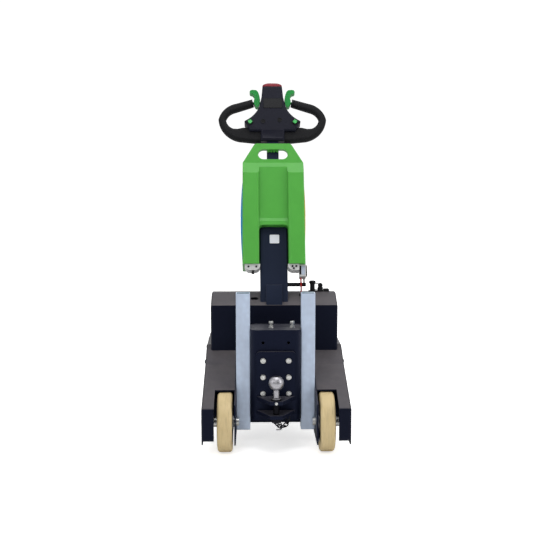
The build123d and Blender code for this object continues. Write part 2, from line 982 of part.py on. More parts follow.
def make_connector():
    """The battery connector, held under the battery's right shoulder."""
    block = mast_block(
        (connector_side, connector_side + connector_width),
        (-connector_front, -connector_front + connector_depth),
        (battery_up - connector_height, battery_up),
        connector_edge,
    )
    return on_mast(block)


def make_red_lead():
    """The red lead from the connector to the gland on the hood."""
    places = [(x, mast_setback + setback, rise) for x, setback, rise in red_lead_route]
    points = [(x, back(setback), slope_height(setback) + rise) for x, setback, rise in places]
    path = FilletPolyline(*points, radius=red_lead_radii)
    section = Plane(origin=path @ 0, z_dir=path % 0) * Circle(lead_diameter / 2)
    return sweep(section, path)


def make_black_lead():
    """The short black lead between the connector and the arm."""
    place = Pos(black_lead_side, -black_lead_front, (arm_top_up + battery_up - connector_height) / 2)
    return on_mast(place * Cylinder(lead_diameter / 2, battery_up - connector_height - arm_top_up))


def make_gland():
    """The gland that the red lead enters, on the hood's sloped front."""
    level = slope_height(gland_setback)
    gland = standing_rod(gland_diameter, (level - overrun, level + gland_height), gland_side, gland_setback)
    return gland - under_slope(0)


def head_outline():
    """The tiller head's outline in (half width, up): block, wings, flare and neck."""
    base = head_up
    low = Polyline(
        (0, base),
        (block_half, base),
        (block_half, base + block_rise),
        (wing_low_half, base + block_rise),
        (wing_side_half, base + wing_side_rise),
        (wing_tip_half, base + wing_tip_rise),
    )
    flare = ThreePointArc(low @ 1, (flare_half, base + flare_rise), (waist_half, base + waist_rise))
    neck = Polyline(
        flare @ 1, (neck_half, base + neck_rise), (crown_half, base + head_height), (0, base + head_height)
    )
    half = make_face(low + flare + neck + Line(neck @ 1, low @ 0))
    whole = half + mirror(half, Plane.YZ)
    corners = [corner for corner in whole.vertices() if abs(corner.X) > seat_gap]
    return fillet(corners, head_corner)


def head_solid():
    """The tiller head before its edges are rounded, in the mast's frame."""
    return facing_solid(head_outline(), (-head_depth / 2, head_depth / 2))


def make_tiller_head():
    """The tiller head's body with rounded front and back edges."""
    head = head_solid()
    faces = head.faces().sort_by(Axis.Y)
    return on_mast(fillet(faces[0].edges() + faces[-1].edges(), head_edge))


def make_belly_button():
    """The red belly button on the head's end, with a domed top."""
    low = head_up + head_height
    cap = mast_tubing(button_cap_width, button_cap_depth, (low, low + button_cap_height), head_edge)
    return on_mast(fillet(cap.faces().sort_by(Axis.Z)[-1].edges(), button_cap_dome))


def share_points(shares):
    """Places in (half width, up) from shares of the grip's reach and height."""
    points = {}
    for name, (wide, high) in shares.items():
        points[name] = (grip_reach * wide, head_up + grip_height * high)
    return points


def grip_outline():
    """The right grip loop's outline: its outside, its root in the head, and its inside."""
    out = share_points(grip_outer_shares)
    bore = share_points(grip_inner_shares)
    lines = Line(out["end"], out["shoulder"])
    lines += ThreePointArc(out["shoulder"], out["turn"], out["outermost"])
    lines += ThreePointArc(out["outermost"], out["low_turn"], out["belly"])
    lines += Polyline(out["belly"], out["foot"], out["root"], bore["root"])
    lines += Polyline(bore["root"], bore["wing"], bore["dip"], bore["floor"])
    lines += ThreePointArc(bore["floor"], bore["low_turn"], bore["innermost"])
    lines += ThreePointArc(bore["innermost"], bore["turn"], bore["shoulder"])
    lines += Polyline(bore["shoulder"], bore["end"], out["end"])
    return make_face(lines)


def make_grip():
    """The right grip loop, moulded in one, with its root beside the head's block."""
    grip = facing_solid(grip_outline(), (-grip_depth / 2, grip_depth / 2))
    grip = fillet(grip.edges().filter_by(Axis.Y, reverse=True), grip_edge)
    return on_mast(grip - head_solid())


def make_rockers():
    """Two thumb rockers, curved horns on pins between the neck and the grips' ends."""
    low = head_up + rocker_rise
    near = neck_half + rocker_gap
    points = [(near + rocker_width * wide, low + rocker_height * high) for wide, high in rocker_shares]
    horn = facing_solid(Polygon(*points, align=None), (-rocker_depth / 2, rocker_depth / 2))
    pin_end = grip_reach * grip_inner_shares["end"][0]
    align = (Align.CENTER, Align.CENTER, Align.MIN)
    pin = Cylinder(rocker_pin_diameter / 2, pin_end - crown_half, align=align)
    pin = Pos(crown_half, 0, head_up + rocker_pin_rise) * Rot(0, 90, 0) * pin
    rocker = horn + pin - head_solid()
    return on_mast(Compound([rocker, mirrored(rocker)]))


def make_side_buttons():
    """Two square push buttons with bezels on the front of the wings."""
    bezel = Pos(0, -bezel_height / 2, 0) * Box(bezel_width, bezel_height, bezel_width)
    push = Pos(0, -push_height / 2, 0) * Box(push_width, push_height, push_width)
    place = Pos(push_half, -head_depth / 2, head_up + push_rise) * Rot(0, push_turn, 0)
    button = place * (bezel + push)
    return on_mast(Compound([button, mirrored(button)]))


def make_charge_socket():
    """The charge socket with its flange, on the hood's ridge."""
    setback = hood_ridge_setback + hood_ridge_depth / 2
    flange_top = ridge_height + socket_flange_height
    flange = standing_rod(socket_flange_diameter, (ridge_height, flange_top), socket_side, setback)
    barrel_heights = (flange_top, ridge_height + socket_height)
    flat = box(
        (socket_side - socket_flange_diameter, socket_side + socket_flange_diameter),
        (hood_ridge_setback, hood_ridge_setback + hood_ridge_depth),
        (ridge_height, flange_top),
    )
    return (flange & flat) + standing_rod(socket_diameter, barrel_heights, socket_side, setback)


def make_key_switch():
    """The key switch on the hood's ridge."""
    setback = hood_ridge_setback + hood_ridge_depth / 2
    return standing_rod(key_diameter, (ridge_height, ridge_height + key_height), key_side, setback)


os.makedirs("parts", exist_ok=True)

# Pieces that come in a right and a left one
pairs = {
    "fender": make_fender,
    "inner_plate": make_inner_plate,
    "guard_bar": make_bar,
    "axle": make_axle,
    "tyre": make_drive_tyre,
    "rim": make_drive_rim,
    "castor_plate": make_castor_plate,
    "castor_fork": make_castor_fork,
    "castor_tyre": make_castor_tyre,
    "castor_rim": make_castor_rim,
    "grip": make_grip,
}
for name, make in pairs.items():
    shape = make()
    export_step(shape, f"parts/{name}_right.step")
    export_step(mirrored(shape), f"parts/{name}_left.step")

singles = {
    "chassis_tray": make_tray,
    "front_cover": make_front_cover,
    "hood": make_hood,
    "mast_upright": make_upright,
    "drive_unit": make_drive_unit,
    "hitch_column": make_column,
    "column_cap": make_column_cap,
    "hitch_plate": make_hitch_plate,
    "tow_ball": make_tow_ball,
    "pin_clip": make_clip,
    "mast_bracket": make_mast_bracket,
    "battery_post": make_battery_post,
    "tiller_stem": make_stem,
    "battery_case": make_battery,
    "battery_seats": make_battery_seats,
    "connector_arm": make_arm,
    "battery_connector": make_connector,
    "lead_red": make_red_lead,
    "lead_black": make_black_lead,
    "lead_gland": make_gland,
    "tiller_head": make_tiller_head,
    "belly_button": make_belly_button,
    "thumb_rockers": make_rockers,
    "side_buttons": make_side_buttons,
    "charge_socket": make_charge_socket,
    "key_switch": make_key_switch,
}
for name, make in singles.items():
    export_step(make(), f"parts/{name}.step")
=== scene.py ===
import math

import bmesh
import bpy
from mathutils import Matrix, Vector


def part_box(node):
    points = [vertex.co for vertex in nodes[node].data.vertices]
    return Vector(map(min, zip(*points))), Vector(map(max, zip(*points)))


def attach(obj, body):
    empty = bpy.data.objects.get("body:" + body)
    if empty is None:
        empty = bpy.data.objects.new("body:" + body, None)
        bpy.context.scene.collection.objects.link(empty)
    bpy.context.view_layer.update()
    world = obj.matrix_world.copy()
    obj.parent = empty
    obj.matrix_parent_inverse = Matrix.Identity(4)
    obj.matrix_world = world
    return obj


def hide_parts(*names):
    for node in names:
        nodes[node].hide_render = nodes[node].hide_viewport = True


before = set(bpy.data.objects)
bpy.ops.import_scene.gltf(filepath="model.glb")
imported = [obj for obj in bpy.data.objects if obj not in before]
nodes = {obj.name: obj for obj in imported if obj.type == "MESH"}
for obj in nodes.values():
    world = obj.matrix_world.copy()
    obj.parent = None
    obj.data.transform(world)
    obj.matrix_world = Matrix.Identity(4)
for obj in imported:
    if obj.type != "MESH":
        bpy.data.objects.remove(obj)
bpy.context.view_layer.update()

# Camera, light and floor.
# The machine stands on a white studio floor, seen from its hitch end at chest height. Broad soft
# lights hang above and beside it, and the room behind the camera is darker.


def linear(code):
    """The linear colour of an sRGB hex code such as "3A7F2B"."""
    shares = [int(code[start : start + 2], 16) / 255 for start in (0, 2, 4)]
    return [s / 12.92 if s <= 0.04045 else ((s + 0.055) / 1.055) ** 2.4 for s in shares] + [1.0]


def add_node(tree, kind, settings=(), links=()):
    """Adds one shader node with its (name or socket, value) settings and (socket, node, output) links."""
    made = tree.nodes.new(kind)
    for name, value in settings:
        if isinstance(name, str) and hasattr(made, name):
            setattr(made, name, value)
        else:
            made.inputs[name].default_value = value
    for socket, source, output in links:
        tree.links.new(source.outputs[output], made.inputs[socket])
    return made


def start_material(name):
    """A new material with its node tree and its shader."""
    material = bpy.data.materials.new(name)
    material.use_nodes = True
    tree = material.node_tree
    return material, tree, tree.nodes["Principled BSDF"]


camera_place = (-0.068, -3.0569, 0.934)
camera_pitch = math.radians(6.88)
camera_yaw = math.radians(1.34)
camera_data = bpy.data.cameras.new("camera")
camera_data.lens = 55.8
camera_data.sensor_width = 36
camera = bpy.data.objects.new("camera", camera_data)
camera.location = camera_place
camera.rotation_euler = (math.pi / 2 - camera_pitch, 0, -camera_yaw)
bpy.context.scene.collection.objects.link(camera)
bpy.context.scene.camera = camera
bpy.context.scene.view_settings.view_transform = "Standard"

soft_boxes = {
    "top_light": {"at": (0.1, -0.2, 3.4), "size": 2.6, "power": 60},
    "front_light": {"at": (-1.3, -3.6, 3.0), "size": 1.8, "power": 34},
    "left_light": {"at": (-3.0, -1.2, 1.9), "size": 1.8, "power": 20},
    "right_light": {"at": (3.0, -1.2, 1.9), "size": 1.8, "power": 38},
    "rear_light": {"at": (0.4, 3.8, 2.4), "size": 2.4, "power": 30},
}
light_target = Vector((0, 0, 0.55))
for name, soft_box in soft_boxes.items():
    lamp = bpy.data.lights.new(name, "AREA")
    lamp.size = soft_box["size"]
    lamp.energy = soft_box["power"]
    light = bpy.data.objects.new(name, lamp)
    light.location = soft_box["at"]
    light.rotation_euler = (light_target - light.location).to_track_quat("-Z", "Y").to_euler()
    bpy.context.scene.collection.objects.link(light)

# The room's walls are white paper, and dim behind the camera. What is seen past the machine is the
# same paper, lit evenly.
world = bpy.data.worlds.new("studio")
world.use_nodes = True
tree = world.node_tree
room_light = tree.nodes["Background"]
room_light.inputs["Color"].default_value = linear("FFFFFF")
outlook = add_node(tree, "ShaderNodeTexCoord")
bearing = add_node(tree, "ShaderNodeSeparateXYZ", links=[("Vector", outlook, "Generated")])
walls = add_node(
    tree,
    "ShaderNodeMapRange",
    [("From Min", -0.7), ("From Max", 0.3), ("To Min", 0.3), ("To Max", 0.78)],
    [("Value", bearing, "Y")],
)
tree.links.new(walls.outputs["Result"], room_light.inputs["Strength"])
paper_wall = add_node(tree, "ShaderNodeBackground", [("Color", linear("FFFFFF")), ("Strength", 1.05)])
seen = add_node(tree, "ShaderNodeLightPath")
backdrop = add_node(tree, "ShaderNodeMixShader")
tree.links.new(seen.outputs["Is Camera Ray"], backdrop.inputs["Fac"])
tree.links.new(room_light.outputs["Background"], backdrop.inputs[1])
tree.links.new(paper_wall.outputs["Background"], backdrop.inputs[2])
tree.links.new(backdrop.outputs["Shader"], tree.nodes["World Output"].inputs["Surface"])
bpy.context.scene.world = world

# The floor is the same paper again, lifted a little where it is seen, so that it has no horizon
floor_size = 30
floor_drop = 0.0004
floor_paper, tree, shader = start_material("studio_paper")
shader.inputs["Base Color"].default_value = linear("FAFAFA")
shader.inputs["Roughness"].default_value = 0.9
shader.inputs["Specular IOR Level"].default_value = 0.1
shader.inputs["Emission Color"].default_value = linear("FFFFFF")
eye = add_node(tree, "ShaderNodeLightPath")
lift = add_node(tree, "ShaderNodeMath", [("operation", "MULTIPLY"), (1, 0.62)], [(0, eye, "Is Camera Ray")])
tree.links.new(lift.outputs["Value"], shader.inputs["Emission Strength"])
bpy.ops.object.select_all(action="DESELECT")
bpy.ops.mesh.primitive_plane_add(size=floor_size, location=(0, 0, -floor_drop))
floor = bpy.context.object
floor.name = "studio_floor"
floor.data.materials.append(floor_paper)

# Chassis: fenders, inner plates, tray, front cover, hood and the mast's steel.
# Laser-cut and folded steel sheet under satin black powder coat, welded and then bolted together.
# Dust settles on what faces up, and light from above is painted there too, which turns the black brown-grey.


def powder_coat(name, colour, dust_and_top_light, dust_and_top_light_share, roughness, sheen, gleam):
    """Powder coat: a fine orange peel, cloudy patches, and dust with painted top light on what faces up."""
    material, tree, shader = start_material(name)
    place = add_node(tree, "ShaderNodeTexCoord")
    surface = add_node(tree, "ShaderNodeNewGeometry")
    bearing = add_node(tree, "ShaderNodeSeparateXYZ", links=[("Vector", surface, "Normal")])
    # What faces up takes the brown-grey: partly settled dust, partly painted light from above.
    upward_dust_and_top_light = add_node(
        tree,
        "ShaderNodeMapRange",
        [("From Min", 0.5), ("From Max", 0.93), ("To Min", 0.0), ("To Max", dust_and_top_light_share)],
        [("Value", bearing, "Z")],
    )
    cloud_mm = 85
    clouds = add_node(
        tree,
        "ShaderNodeTexNoise",
        [("Scale", 1000 / cloud_mm), ("Detail", 5.0), ("Roughness", 0.62)],
        [("Vector", place, "Object")],
    )
    patches = add_node(
        tree,
        "ShaderNodeMapRange",
        [("From Min", 0.3), ("From Max", 0.7), ("To Min", 0.75), ("To Max", 1.15)],
        [("Value", clouds, "Fac")],
    )
    dust_and_top_light_mask = add_node(
        tree,
        "ShaderNodeMath",
        [("operation", "MULTIPLY"), ("use_clamp", True)],
        [(0, upward_dust_and_top_light, "Result"), (1, patches, "Result")],
    )
    coat = add_node(
        tree,
        "ShaderNodeMix",
        [("data_type", "RGBA"), (6, linear(colour)), (7, linear(dust_and_top_light))],
        [(0, dust_and_top_light_mask, "Value")],
    )
    tree.links.new(coat.outputs[2], shader.inputs["Base Color"])
    gloss = add_node(
        tree,
        "ShaderNodeMapRange",
        [("From Min", 0.3), ("From Max", 0.7), ("To Min", roughness - 0.05), ("To Max", roughness + 0.09)],
        [("Value", clouds, "Fac")],
    )
    tree.links.new(gloss.outputs["Result"], shader.inputs["Roughness"])
    shader.inputs["Specular IOR Level"].default_value = sheen
    shader.inputs["Specular Tint"].default_value = linear(gleam)
    orange_peel_mm = 1.6
    peel = add_node(
        tree,
        "ShaderNodeTexNoise",
        [("Scale", 1000 / orange_peel_mm), ("Detail", 2.0)],
        [("Vector", place, "Object")],
    )
    relief = add_node(
        tree, "ShaderNodeBump", [("Strength", 0.16), ("Distance", 0.0004)], [("Height", peel, "Fac")]
    )
    tree.links.new(relief.outputs["Normal"], shader.inputs["Normal"])
    return material


def finish_nodes(material, *names):
    """Gives CAD nodes their finish."""
    for name in names:
        nodes[name].data.materials.clear()
        nodes[name].data.materials.append(material)


black_coat = powder_coat("black_powder_coat", "0E101B", "545051", 0.88, 0.45, 0.2, "8E9CC8")
# A darker copy of the coat with thinner, darker dust on top: less dust, and painted shade where these parts
# lie shadowed.
less_dust_painted_shade_coat = powder_coat("black_powder_coat_less_dust_painted_shade", "0F1220", "3E3D43", 0.7, 0.42, 0.24, "8E9CC8")
# A lighter, glossier copy for the mast: the gloss is roughness and sheen, and the lighter base colour is
# painted light.
painted_lit_mast_coat = powder_coat("black_powder_coat_glossy_painted_lit", "171D2B", "3E3D43", 0.7, 0.4, 0.3, "9AA8D0")
finish_nodes(black_coat, "fender_right", "fender_left", "hood")
finish_nodes(painted_lit_mast_coat, "battery_post", "mast_bracket", "tiller_stem")
finish_nodes(
    less_dust_painted_shade_coat,
    "inner_plate_right",
    "inner_plate_left",
    "chassis_tray",
    "front_cover",
    "mast_upright",
    "hitch_column",
    "column_cap",
    "hitch_plate",
)

# Guard bars.
# Two square tubes beside the hitch column that fend off the cart. They are galvanised and coated
# thin and pale, so the zinc's patches still show through the blue-grey.

guard_coat, tree, shader = start_material("thin_pale_coat_on_galvanised_steel")
place = add_node(tree, "ShaderNodeTexCoord")
spangle_mm = 16
spangle = add_node(
    tree,
    "ShaderNodeTexVoronoi",
    [("feature", "SMOOTH_F1"), ("Scale", 1000 / spangle_mm), ("Smoothness", 0.9)],
    [("Vector", place, "Object")],
)
run_mm = 45
stretch = add_node(tree, "ShaderNodeMapping", [("Scale", (1.0, 1.0, 0.25))], [("Vector", place, "Object")])
runs = add_node(
    tree,
    "ShaderNodeTexNoise",
    [("Scale", 1000 / run_mm), ("Detail", 5.0), ("Roughness", 0.6)],
    [("Vector", stretch, "Vector")],
)
zinc = add_node(
    tree,
    "ShaderNodeMix",
    [("data_type", "RGBA"), (6, linear("C0CFE4")), (7, linear("AEBBD0"))],
    [(0, spangle, "Distance")],
)
cloudy = add_node(
    tree,
    "ShaderNodeMapRange",
    [("From Min", 0.35), ("From Max", 0.75), ("To Min", 0.0), ("To Max", 0.7)],
    [("Value", runs, "Fac")],
)
coat = add_node(
    tree,
    "ShaderNodeMix",
    [("data_type", "RGBA"), (7, linear("A9B4C6"))],
    [(0, cloudy, "Result"), (6, zinc, 2)],
)
tree.links.new(coat.outputs[2], shader.inputs["Base Color"])
gloss = add_node(
    tree,
    "ShaderNodeMapRange",
    [("From Min", 0.3), ("From Max", 0.7), ("To Min", 0.36), ("To Max", 0.5)],
    [("Value", runs, "Fac")],
)
tree.links.new(gloss.outputs["Result"], shader.inputs["Roughness"])
shader.inputs["Metallic"].default_value = 0.35
relief = add_node(
    tree, "ShaderNodeBump", [("Strength", 0.15), ("Distance", 0.0004)], [("Height", spangle, "Distance")]
)
tree.links.new(relief.outputs["Normal"], shader.inputs["Normal"])
finish_nodes(guard_coat, "guard_bar_right", "guard_bar_left")

# Hitch plate bolts.
# Six hexagon-head steel bolts on washers, rolled and bright zinc plated. The plating leaves the
# edges bright and the flats slightly cloudy.


def plated_metal(name, light, dark, patch_mm, roughness):
    """Bare or plated metal with cloudy patches and fine scratches."""
    material, tree, shader = start_material(name)
    place = add_node(tree, "ShaderNodeTexCoord")
    clouds = add_node(
        tree,
        "ShaderNodeTexNoise",
        [("Scale", 1000 / patch_mm), ("Detail", 4.0), ("Roughness", 0.6)],
        [("Vector", place, "Object")],
    )
    tint = add_node(
        tree,
        "ShaderNodeMix",
        [("data_type", "RGBA"), (6, linear(dark)), (7, linear(light))],
        [(0, clouds, "Fac")],
    )
    tree.links.new(tint.outputs[2], shader.inputs["Base Color"])
    shader.inputs["Metallic"].default_value = 1.0
    gloss = add_node(
        tree,
        "ShaderNodeMapRange",
        [("From Min", 0.3), ("From Max", 0.7), ("To Min", roughness - 0.06), ("To Max", roughness + 0.12)],
        [("Value", clouds, "Fac")],
    )
    tree.links.new(gloss.outputs["Result"], shader.inputs["Roughness"])
    scratch_mm = 0.9
    scratches = add_node(
        tree,
        "ShaderNodeTexNoise",
        [("Scale", 1000 / scratch_mm), ("Detail", 3.0)],
        [("Vector", place, "Object")],
    )
    relief = add_node(
        tree, "ShaderNodeBump", [("Strength", 0.12), ("Distance", 0.0003)], [("Height", scratches, "Fac")]
    )
    tree.links.new(relief.outputs["Normal"], shader.inputs["Normal"])
    return material


def start(kind, **sizes):
    """Adds one primitive with nothing else selected and returns it."""
    bpy.ops.object.select_all(action="DESELECT")
    getattr(bpy.ops.mesh, f"primitive_{kind}_add")(**sizes)
    return bpy.context.object


def choose(piece, kind, test):
    """Goes into edit mode with only those faces or edges of a piece selected that pass the test."""
    bpy.context.view_layer.objects.active = piece
    bpy.ops.object.mode_set(mode="EDIT")
    bpy.ops.mesh.select_mode(type="FACE" if kind == "faces" else "EDGE")
    bpy.ops.mesh.select_all(action="DESELECT")
    mesh = bmesh.from_edit_mesh(piece.data)
    for element in getattr(mesh, kind):
        element.select_set(bool(test(element)))
    bmesh.update_edit_mesh(piece.data)


def is_top(face):
    """Whether a face looks up."""
    return face.normal.z > 0.9


def is_end(face):
    """Whether a face looks up or down."""
    return abs(face.normal.z) > 0.9


def step_face(piece, test, *steps):
    """Insets a face and moves it along Z, one (inset, rise) step after another, and stays in edit mode."""
    choose(piece, "faces", test)
    for inset, rise in steps:
        bpy.ops.mesh.inset(thickness=inset)
        bpy.ops.transform.translate(value=(0, 0, rise))


def leave():
    """Back from edit mode to object mode."""
    bpy.ops.object.mode_set(mode="OBJECT")


def alone(piece):
    """Selects just this piece."""
    bpy.ops.object.select_all(action="DESELECT")
    piece.select_set(True)
    bpy.context.view_layer.objects.active = piece


def fix_place(piece):
    """Puts a piece's place, turn and scale into its mesh."""
    alone(piece)
    bpy.ops.object.transform_apply(location=True, rotation=True, scale=True)


def settle(piece, name, material, place=None, body="chassis"):
    """Moves a modelled piece to its place for good, and gives it its name, finish and body."""
    if place is not None:
        piece.matrix_world = place @ piece.matrix_world
    fix_place(piece)
    bpy.ops.object.shade_smooth_by_angle(angle=math.radians(34))
    piece.name = name
    piece.data.name = name
    piece.data.materials.clear()
    piece.data.materials.append(material)
    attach(piece, body)


def set_out(model, places):
    """Copies a modelled piece to each place, each copy with its own mesh, joins them and drops the model."""
    bpy.ops.object.select_all(action="DESELECT")
    for place in places:
        copy = model.copy()
        copy.data = model.data.copy()
        bpy.context.scene.collection.objects.link(copy)
        copy.data.transform(place)
        copy.select_set(True)
        bpy.context.view_layer.objects.active = copy
    bpy.ops.object.join()
    bpy.data.objects.remove(model)
    return bpy.context.object


def at(x, y, z):
    """The move to a place."""
    return Matrix.Translation((x, y, z))


def facing(direction):
    """The turn that points a piece drawn along +Z in a direction, with its +Y upwards."""
    return Vector(direction).to_track_quat("Z", "Y").to_matrix().to_4x4()


def model_bolt(radius, height, foot_radius, foot_height):
    """A hexagon head, its top edge turned off, on a round washer or shank that stands on the origin."""
    head_middle = (0, 0, foot_height + height / 2)
    bolt = start("cylinder", vertices=6, radius=radius, depth=height, location=head_middle)
    turned_off, turned_rise = radius * 0.16, radius * 0.09
    dish_edge, dish_depth = radius * 0.3, radius * 0.05
    step_face(bolt, is_top, (turned_off, turned_rise), (dish_edge, -dish_depth))
    bpy.ops.mesh.primitive_cylinder_add(
        vertices=28, radius=foot_radius, depth=foot_height, location=(0, 0, foot_height / 2)
    )
    leave()
    broken_edge = bolt.modifiers.new("broken_edge", "BEVEL")
    broken_edge.width = radius * 0.05
    broken_edge.segments = 2
    broken_edge.limit_method = "ANGLE"
    alone(bolt)
    bpy.ops.object.modifier_apply(modifier=broken_edge.name)
    fix_place(bolt)
    return bolt


bright_zinc = plated_metal("bright_zinc_plate", "D9D9D6", "A9AAA8", 6, 0.3)
forwards = facing((0, -1, 0))
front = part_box("fender_right")[0].y
hitch_setback = 0.084
plate_bolt_sides = (-0.0425, 0.0425)
# Height of each row, and how far its two bolts are turned, in radians
plate_bolt_rows = ((0.312, (0.2, 0.55)), (0.256, (0.9, 0.35)), (0.200, (0.75, 0.05)))
plate_bolt = model_bolt(radius=0.0078, height=0.0056, foot_radius=0.0092, foot_height=0.0016)
places = []
for height, turns in plate_bolt_rows:
    for side, turn in zip(plate_bolt_sides, turns):
        spin = Matrix.Rotation(turn, 4, "Z")
        places.append(at(side, front + hitch_setback, height) @ forwards @ spin)
settle(set_out(plate_bolt, places), "hitch_plate_bolts", bright_zinc)

# Column top bolts.
# Two long hexagon bolts stand on the column's cap plate, screwed in from above. They are bright
# zinc plated too, with a plain nut at the foot of each shank.

stud_sides, stud_setback = (-0.015, 0.057), 0.150
cap_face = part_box("column_cap")[1].z
places = [at(side, front + stud_setback, cap_face) for side in stud_sides]
stud = model_bolt(radius=0.0086, height=0.0082, foot_radius=0.0045, foot_height=0.0125)
nut = model_bolt(radius=0.0078, height=0.0045, foot_radius=0.0095, foot_height=0.0012)
settle(set_out(stud, places), "column_top_bolts", bright_zinc)
settle(set_out(nut, places), "column_top_nuts", bright_zinc)

# Tow ball, its shank and clip.
# The ball is forged steel, turned bright and polished by use. Up to the upper jaw's face the shank
# keeps its black oxide, and so do the spring wire of the clip and its chain.


def push(piece, test, move):
    """Moves those faces of a piece that pass the test."""
    choose(piece, "faces", test)
    bpy.ops.transform.translate(value=move)
    leave()


ball_steel, tree, shader = start_material("turned_steel_with_black_oxide")
place = add_node(tree, "ShaderNodeTexCoord")
level = add_node(tree, "ShaderNodeSeparateXYZ", links=[("Vector", place, "Object")])
oxide_edge, oxide_fade = 0.196, 0.006
polished = add_node(
    tree,
    "ShaderNodeMapRange",
    [("From Min", oxide_edge), ("From Max", oxide_edge + oxide_fade), ("To Min", 0.0), ("To Max", 1.0)],
    [("Value", level, "Z")],
)
# The lathe's rings, drawn as coarse as they need to show. A wave turns by 20 radians per unit.
turning_mm = 7.54
wave_scale = math.tau / 20 * 1000 / turning_mm
rings = add_node(
    tree,
    "ShaderNodeTexWave",
    [("bands_direction", "Z"), ("Scale", wave_scale), ("Distortion", 1.5), ("Detail", 2.0)],
    [("Vector", place, "Object")],
)
tint = add_node(
    tree,
    "ShaderNodeMix",
    [("data_type", "RGBA"), (6, linear("17171B")), (7, linear("A4A3A8"))],
    [(0, polished, "Result")],
)
tree.links.new(tint.outputs[2], shader.inputs["Base Color"])
shader.inputs["Metallic"].default_value = 1.0
gloss = add_node(
    tree,
    "ShaderNodeMapRange",
    [("To Min", 0.3), ("To Max", 0.46)],
    [("Value", rings, "Fac")],
)
tree.links.new(gloss.outputs["Result"], shader.inputs["Roughness"])
finish_nodes(ball_steel, "tow_ball")
black_oxide = plated_metal("black_oxide_steel", "2A2A2F", "141418", 8, 0.42)
finish_nodes(black_oxide, "pin_clip")

nose_setback, set_screw_height = 0.0095, 0.186
set_screw = model_bolt(radius=0.0042, height=0.003, foot_radius=0.005, foot_height=0.001)
screw_place = at(0, front + nose_setback, set_screw_height) @ forwards
settle(set_screw, "jaw_set_screw", bright_zinc, screw_place)

half_turn = Matrix.Rotation(math.pi, 4, "X")
quarter_turn = Matrix.Rotation(math.pi / 2, 4, "X")
shank_setback, shank_nut_top = 0.032, 0.132
shank_nut = model_bolt(radius=0.0175, height=0.011, foot_radius=0.0185, foot_height=0.0025)
nut_place = at(0, front + shank_setback, shank_nut_top) @ half_turn
settle(shank_nut, "shank_nut", black_oxide, nut_place)

# The chain hangs from the clip to its eye: each link's side, and its height against the chain's top
chain_ring, chain_wire = 0.0066, 0.0021
chain_setback, chain_top = 0.036, 0.121
chain_hang = [
    (-0.006, 0.0),
    (0.001, -0.010),
    (0.010, -0.017),
    (0.020, -0.019),
    (0.030, -0.014),
    (0.037, -0.004),
]
link = start("torus", major_segments=20, minor_segments=8, major_radius=chain_ring, minor_radius=chain_wire)
push(link, lambda face: face.calc_center_median().x > 0, (chain_wire * 2, 0, 0))
places = []
for number, (side, rise) in enumerate(chain_hang):
    before = chain_hang[max(number - 1, 0)]
    after = chain_hang[min(number + 1, len(chain_hang) - 1)]
    slope = math.atan2(after[1] - before[1], after[0] - before[0])
    run = Matrix.Rotation(-slope, 4, "Y")
    roll = Matrix.Rotation(math.pi / 4 + math.pi / 2 * (number % 2), 4, "X")
    places.append(at(side, front + chain_setback, chain_top + rise) @ run @ roll)
settle(set_out(link, places), "clip_chain", black_oxide)

eye_side, eye_setback, eye_height = 0.039, 0.052, 0.1245
eye_length = 0.004
eye = start("torus", major_segments=24, minor_segments=8, major_radius=0.006, minor_radius=0.0018)
push(eye, lambda face: face.calc_center_median().y > 0, (0, eye_length, 0))
eye_place = at(eye_side, front + eye_setback, eye_height) @ quarter_turn
settle(eye, "chain_eye", black_oxide, eye_place)

# Rolled edges.
# The cut and folded steel has its corners broken by grinding before it is coated, so each edge
# shows as a thin paler line. Copies of those CAD nodes with their edges rolled off stand in for them.


def roll_edges(name, width, material):
    """A merged copy of a CAD node with its sharp edges rounded, which replaces the node."""
    piece = bpy.data.objects.new(f"{name}_rolled", nodes[name].data.copy())
    bpy.context.scene.collection.objects.link(piece)
    choose(piece, "faces", lambda face: True)
    bpy.ops.mesh.remove_doubles(threshold=0.00002)
    bpy.ops.mesh.dissolve_limited(angle_limit=math.radians(0.6))
    leave()
    rolled = piece.modifiers.new("rolled", "BEVEL")
    rolled.width = width
    rolled.segments = 3
    rolled.limit_method = "ANGLE"
    rolled.angle_limit = math.radians(40)
    alone(piece)
    bpy.ops.object.modifier_apply(modifier=rolled.name)
    settle(piece, f"{name}_rolled", material)
    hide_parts(name)


roll_edges("column_cap", 0.0012, less_dust_painted_shade_coat)
roll_edges("hitch_plate", 0.0016, less_dust_painted_shade_coat)
roll_edges("mast_bracket", 0.0014, painted_lit_mast_coat)
roll_edges("front_cover", 0.0009, less_dust_painted_shade_coat)

# Drive wheels.
# Solid tyres of pale elastic tread, cast on and worn smooth, with a fine mould line near each
# shoulder. The cast aluminium rims have machined faces, and five studs go through each hub.

tread, tree, shader = start_material("pale_elastic_tread")
place = add_node(tree, "ShaderNodeTexCoord")
streak_mm = 5
stretch = add_node(tree, "ShaderNodeMapping", [("Scale", (1.0, 0.12, 0.12))], [("Vector", place, "Object")])
streaks = add_node(
    tree,
    "ShaderNodeTexNoise",
    [("Scale", 1000 / streak_mm), ("Detail", 5.0), ("Roughness", 0.65)],
    [("Vector", stretch, "Vector")],
)
dirt = add_node(
    tree,
    "ShaderNodeMapRange",
    [("From Min", 0.5), ("From Max", 0.82), ("To Min", 0.0), ("To Max", 0.5)],
    [("Value", streaks, "Fac")],
)
stain_mm = 38
stains = add_node(
    tree,
    "ShaderNodeTexNoise",
    [("Scale", 1000 / stain_mm), ("Detail", 3.0)],
    [("Vector", place, "Object")],
)
rubber = add_node(
    tree,
    "ShaderNodeMix",
    [("data_type", "RGBA"), (6, linear("CDBA90")), (7, linear("BCA77A"))],
    [(0, stains, "Fac")],
)
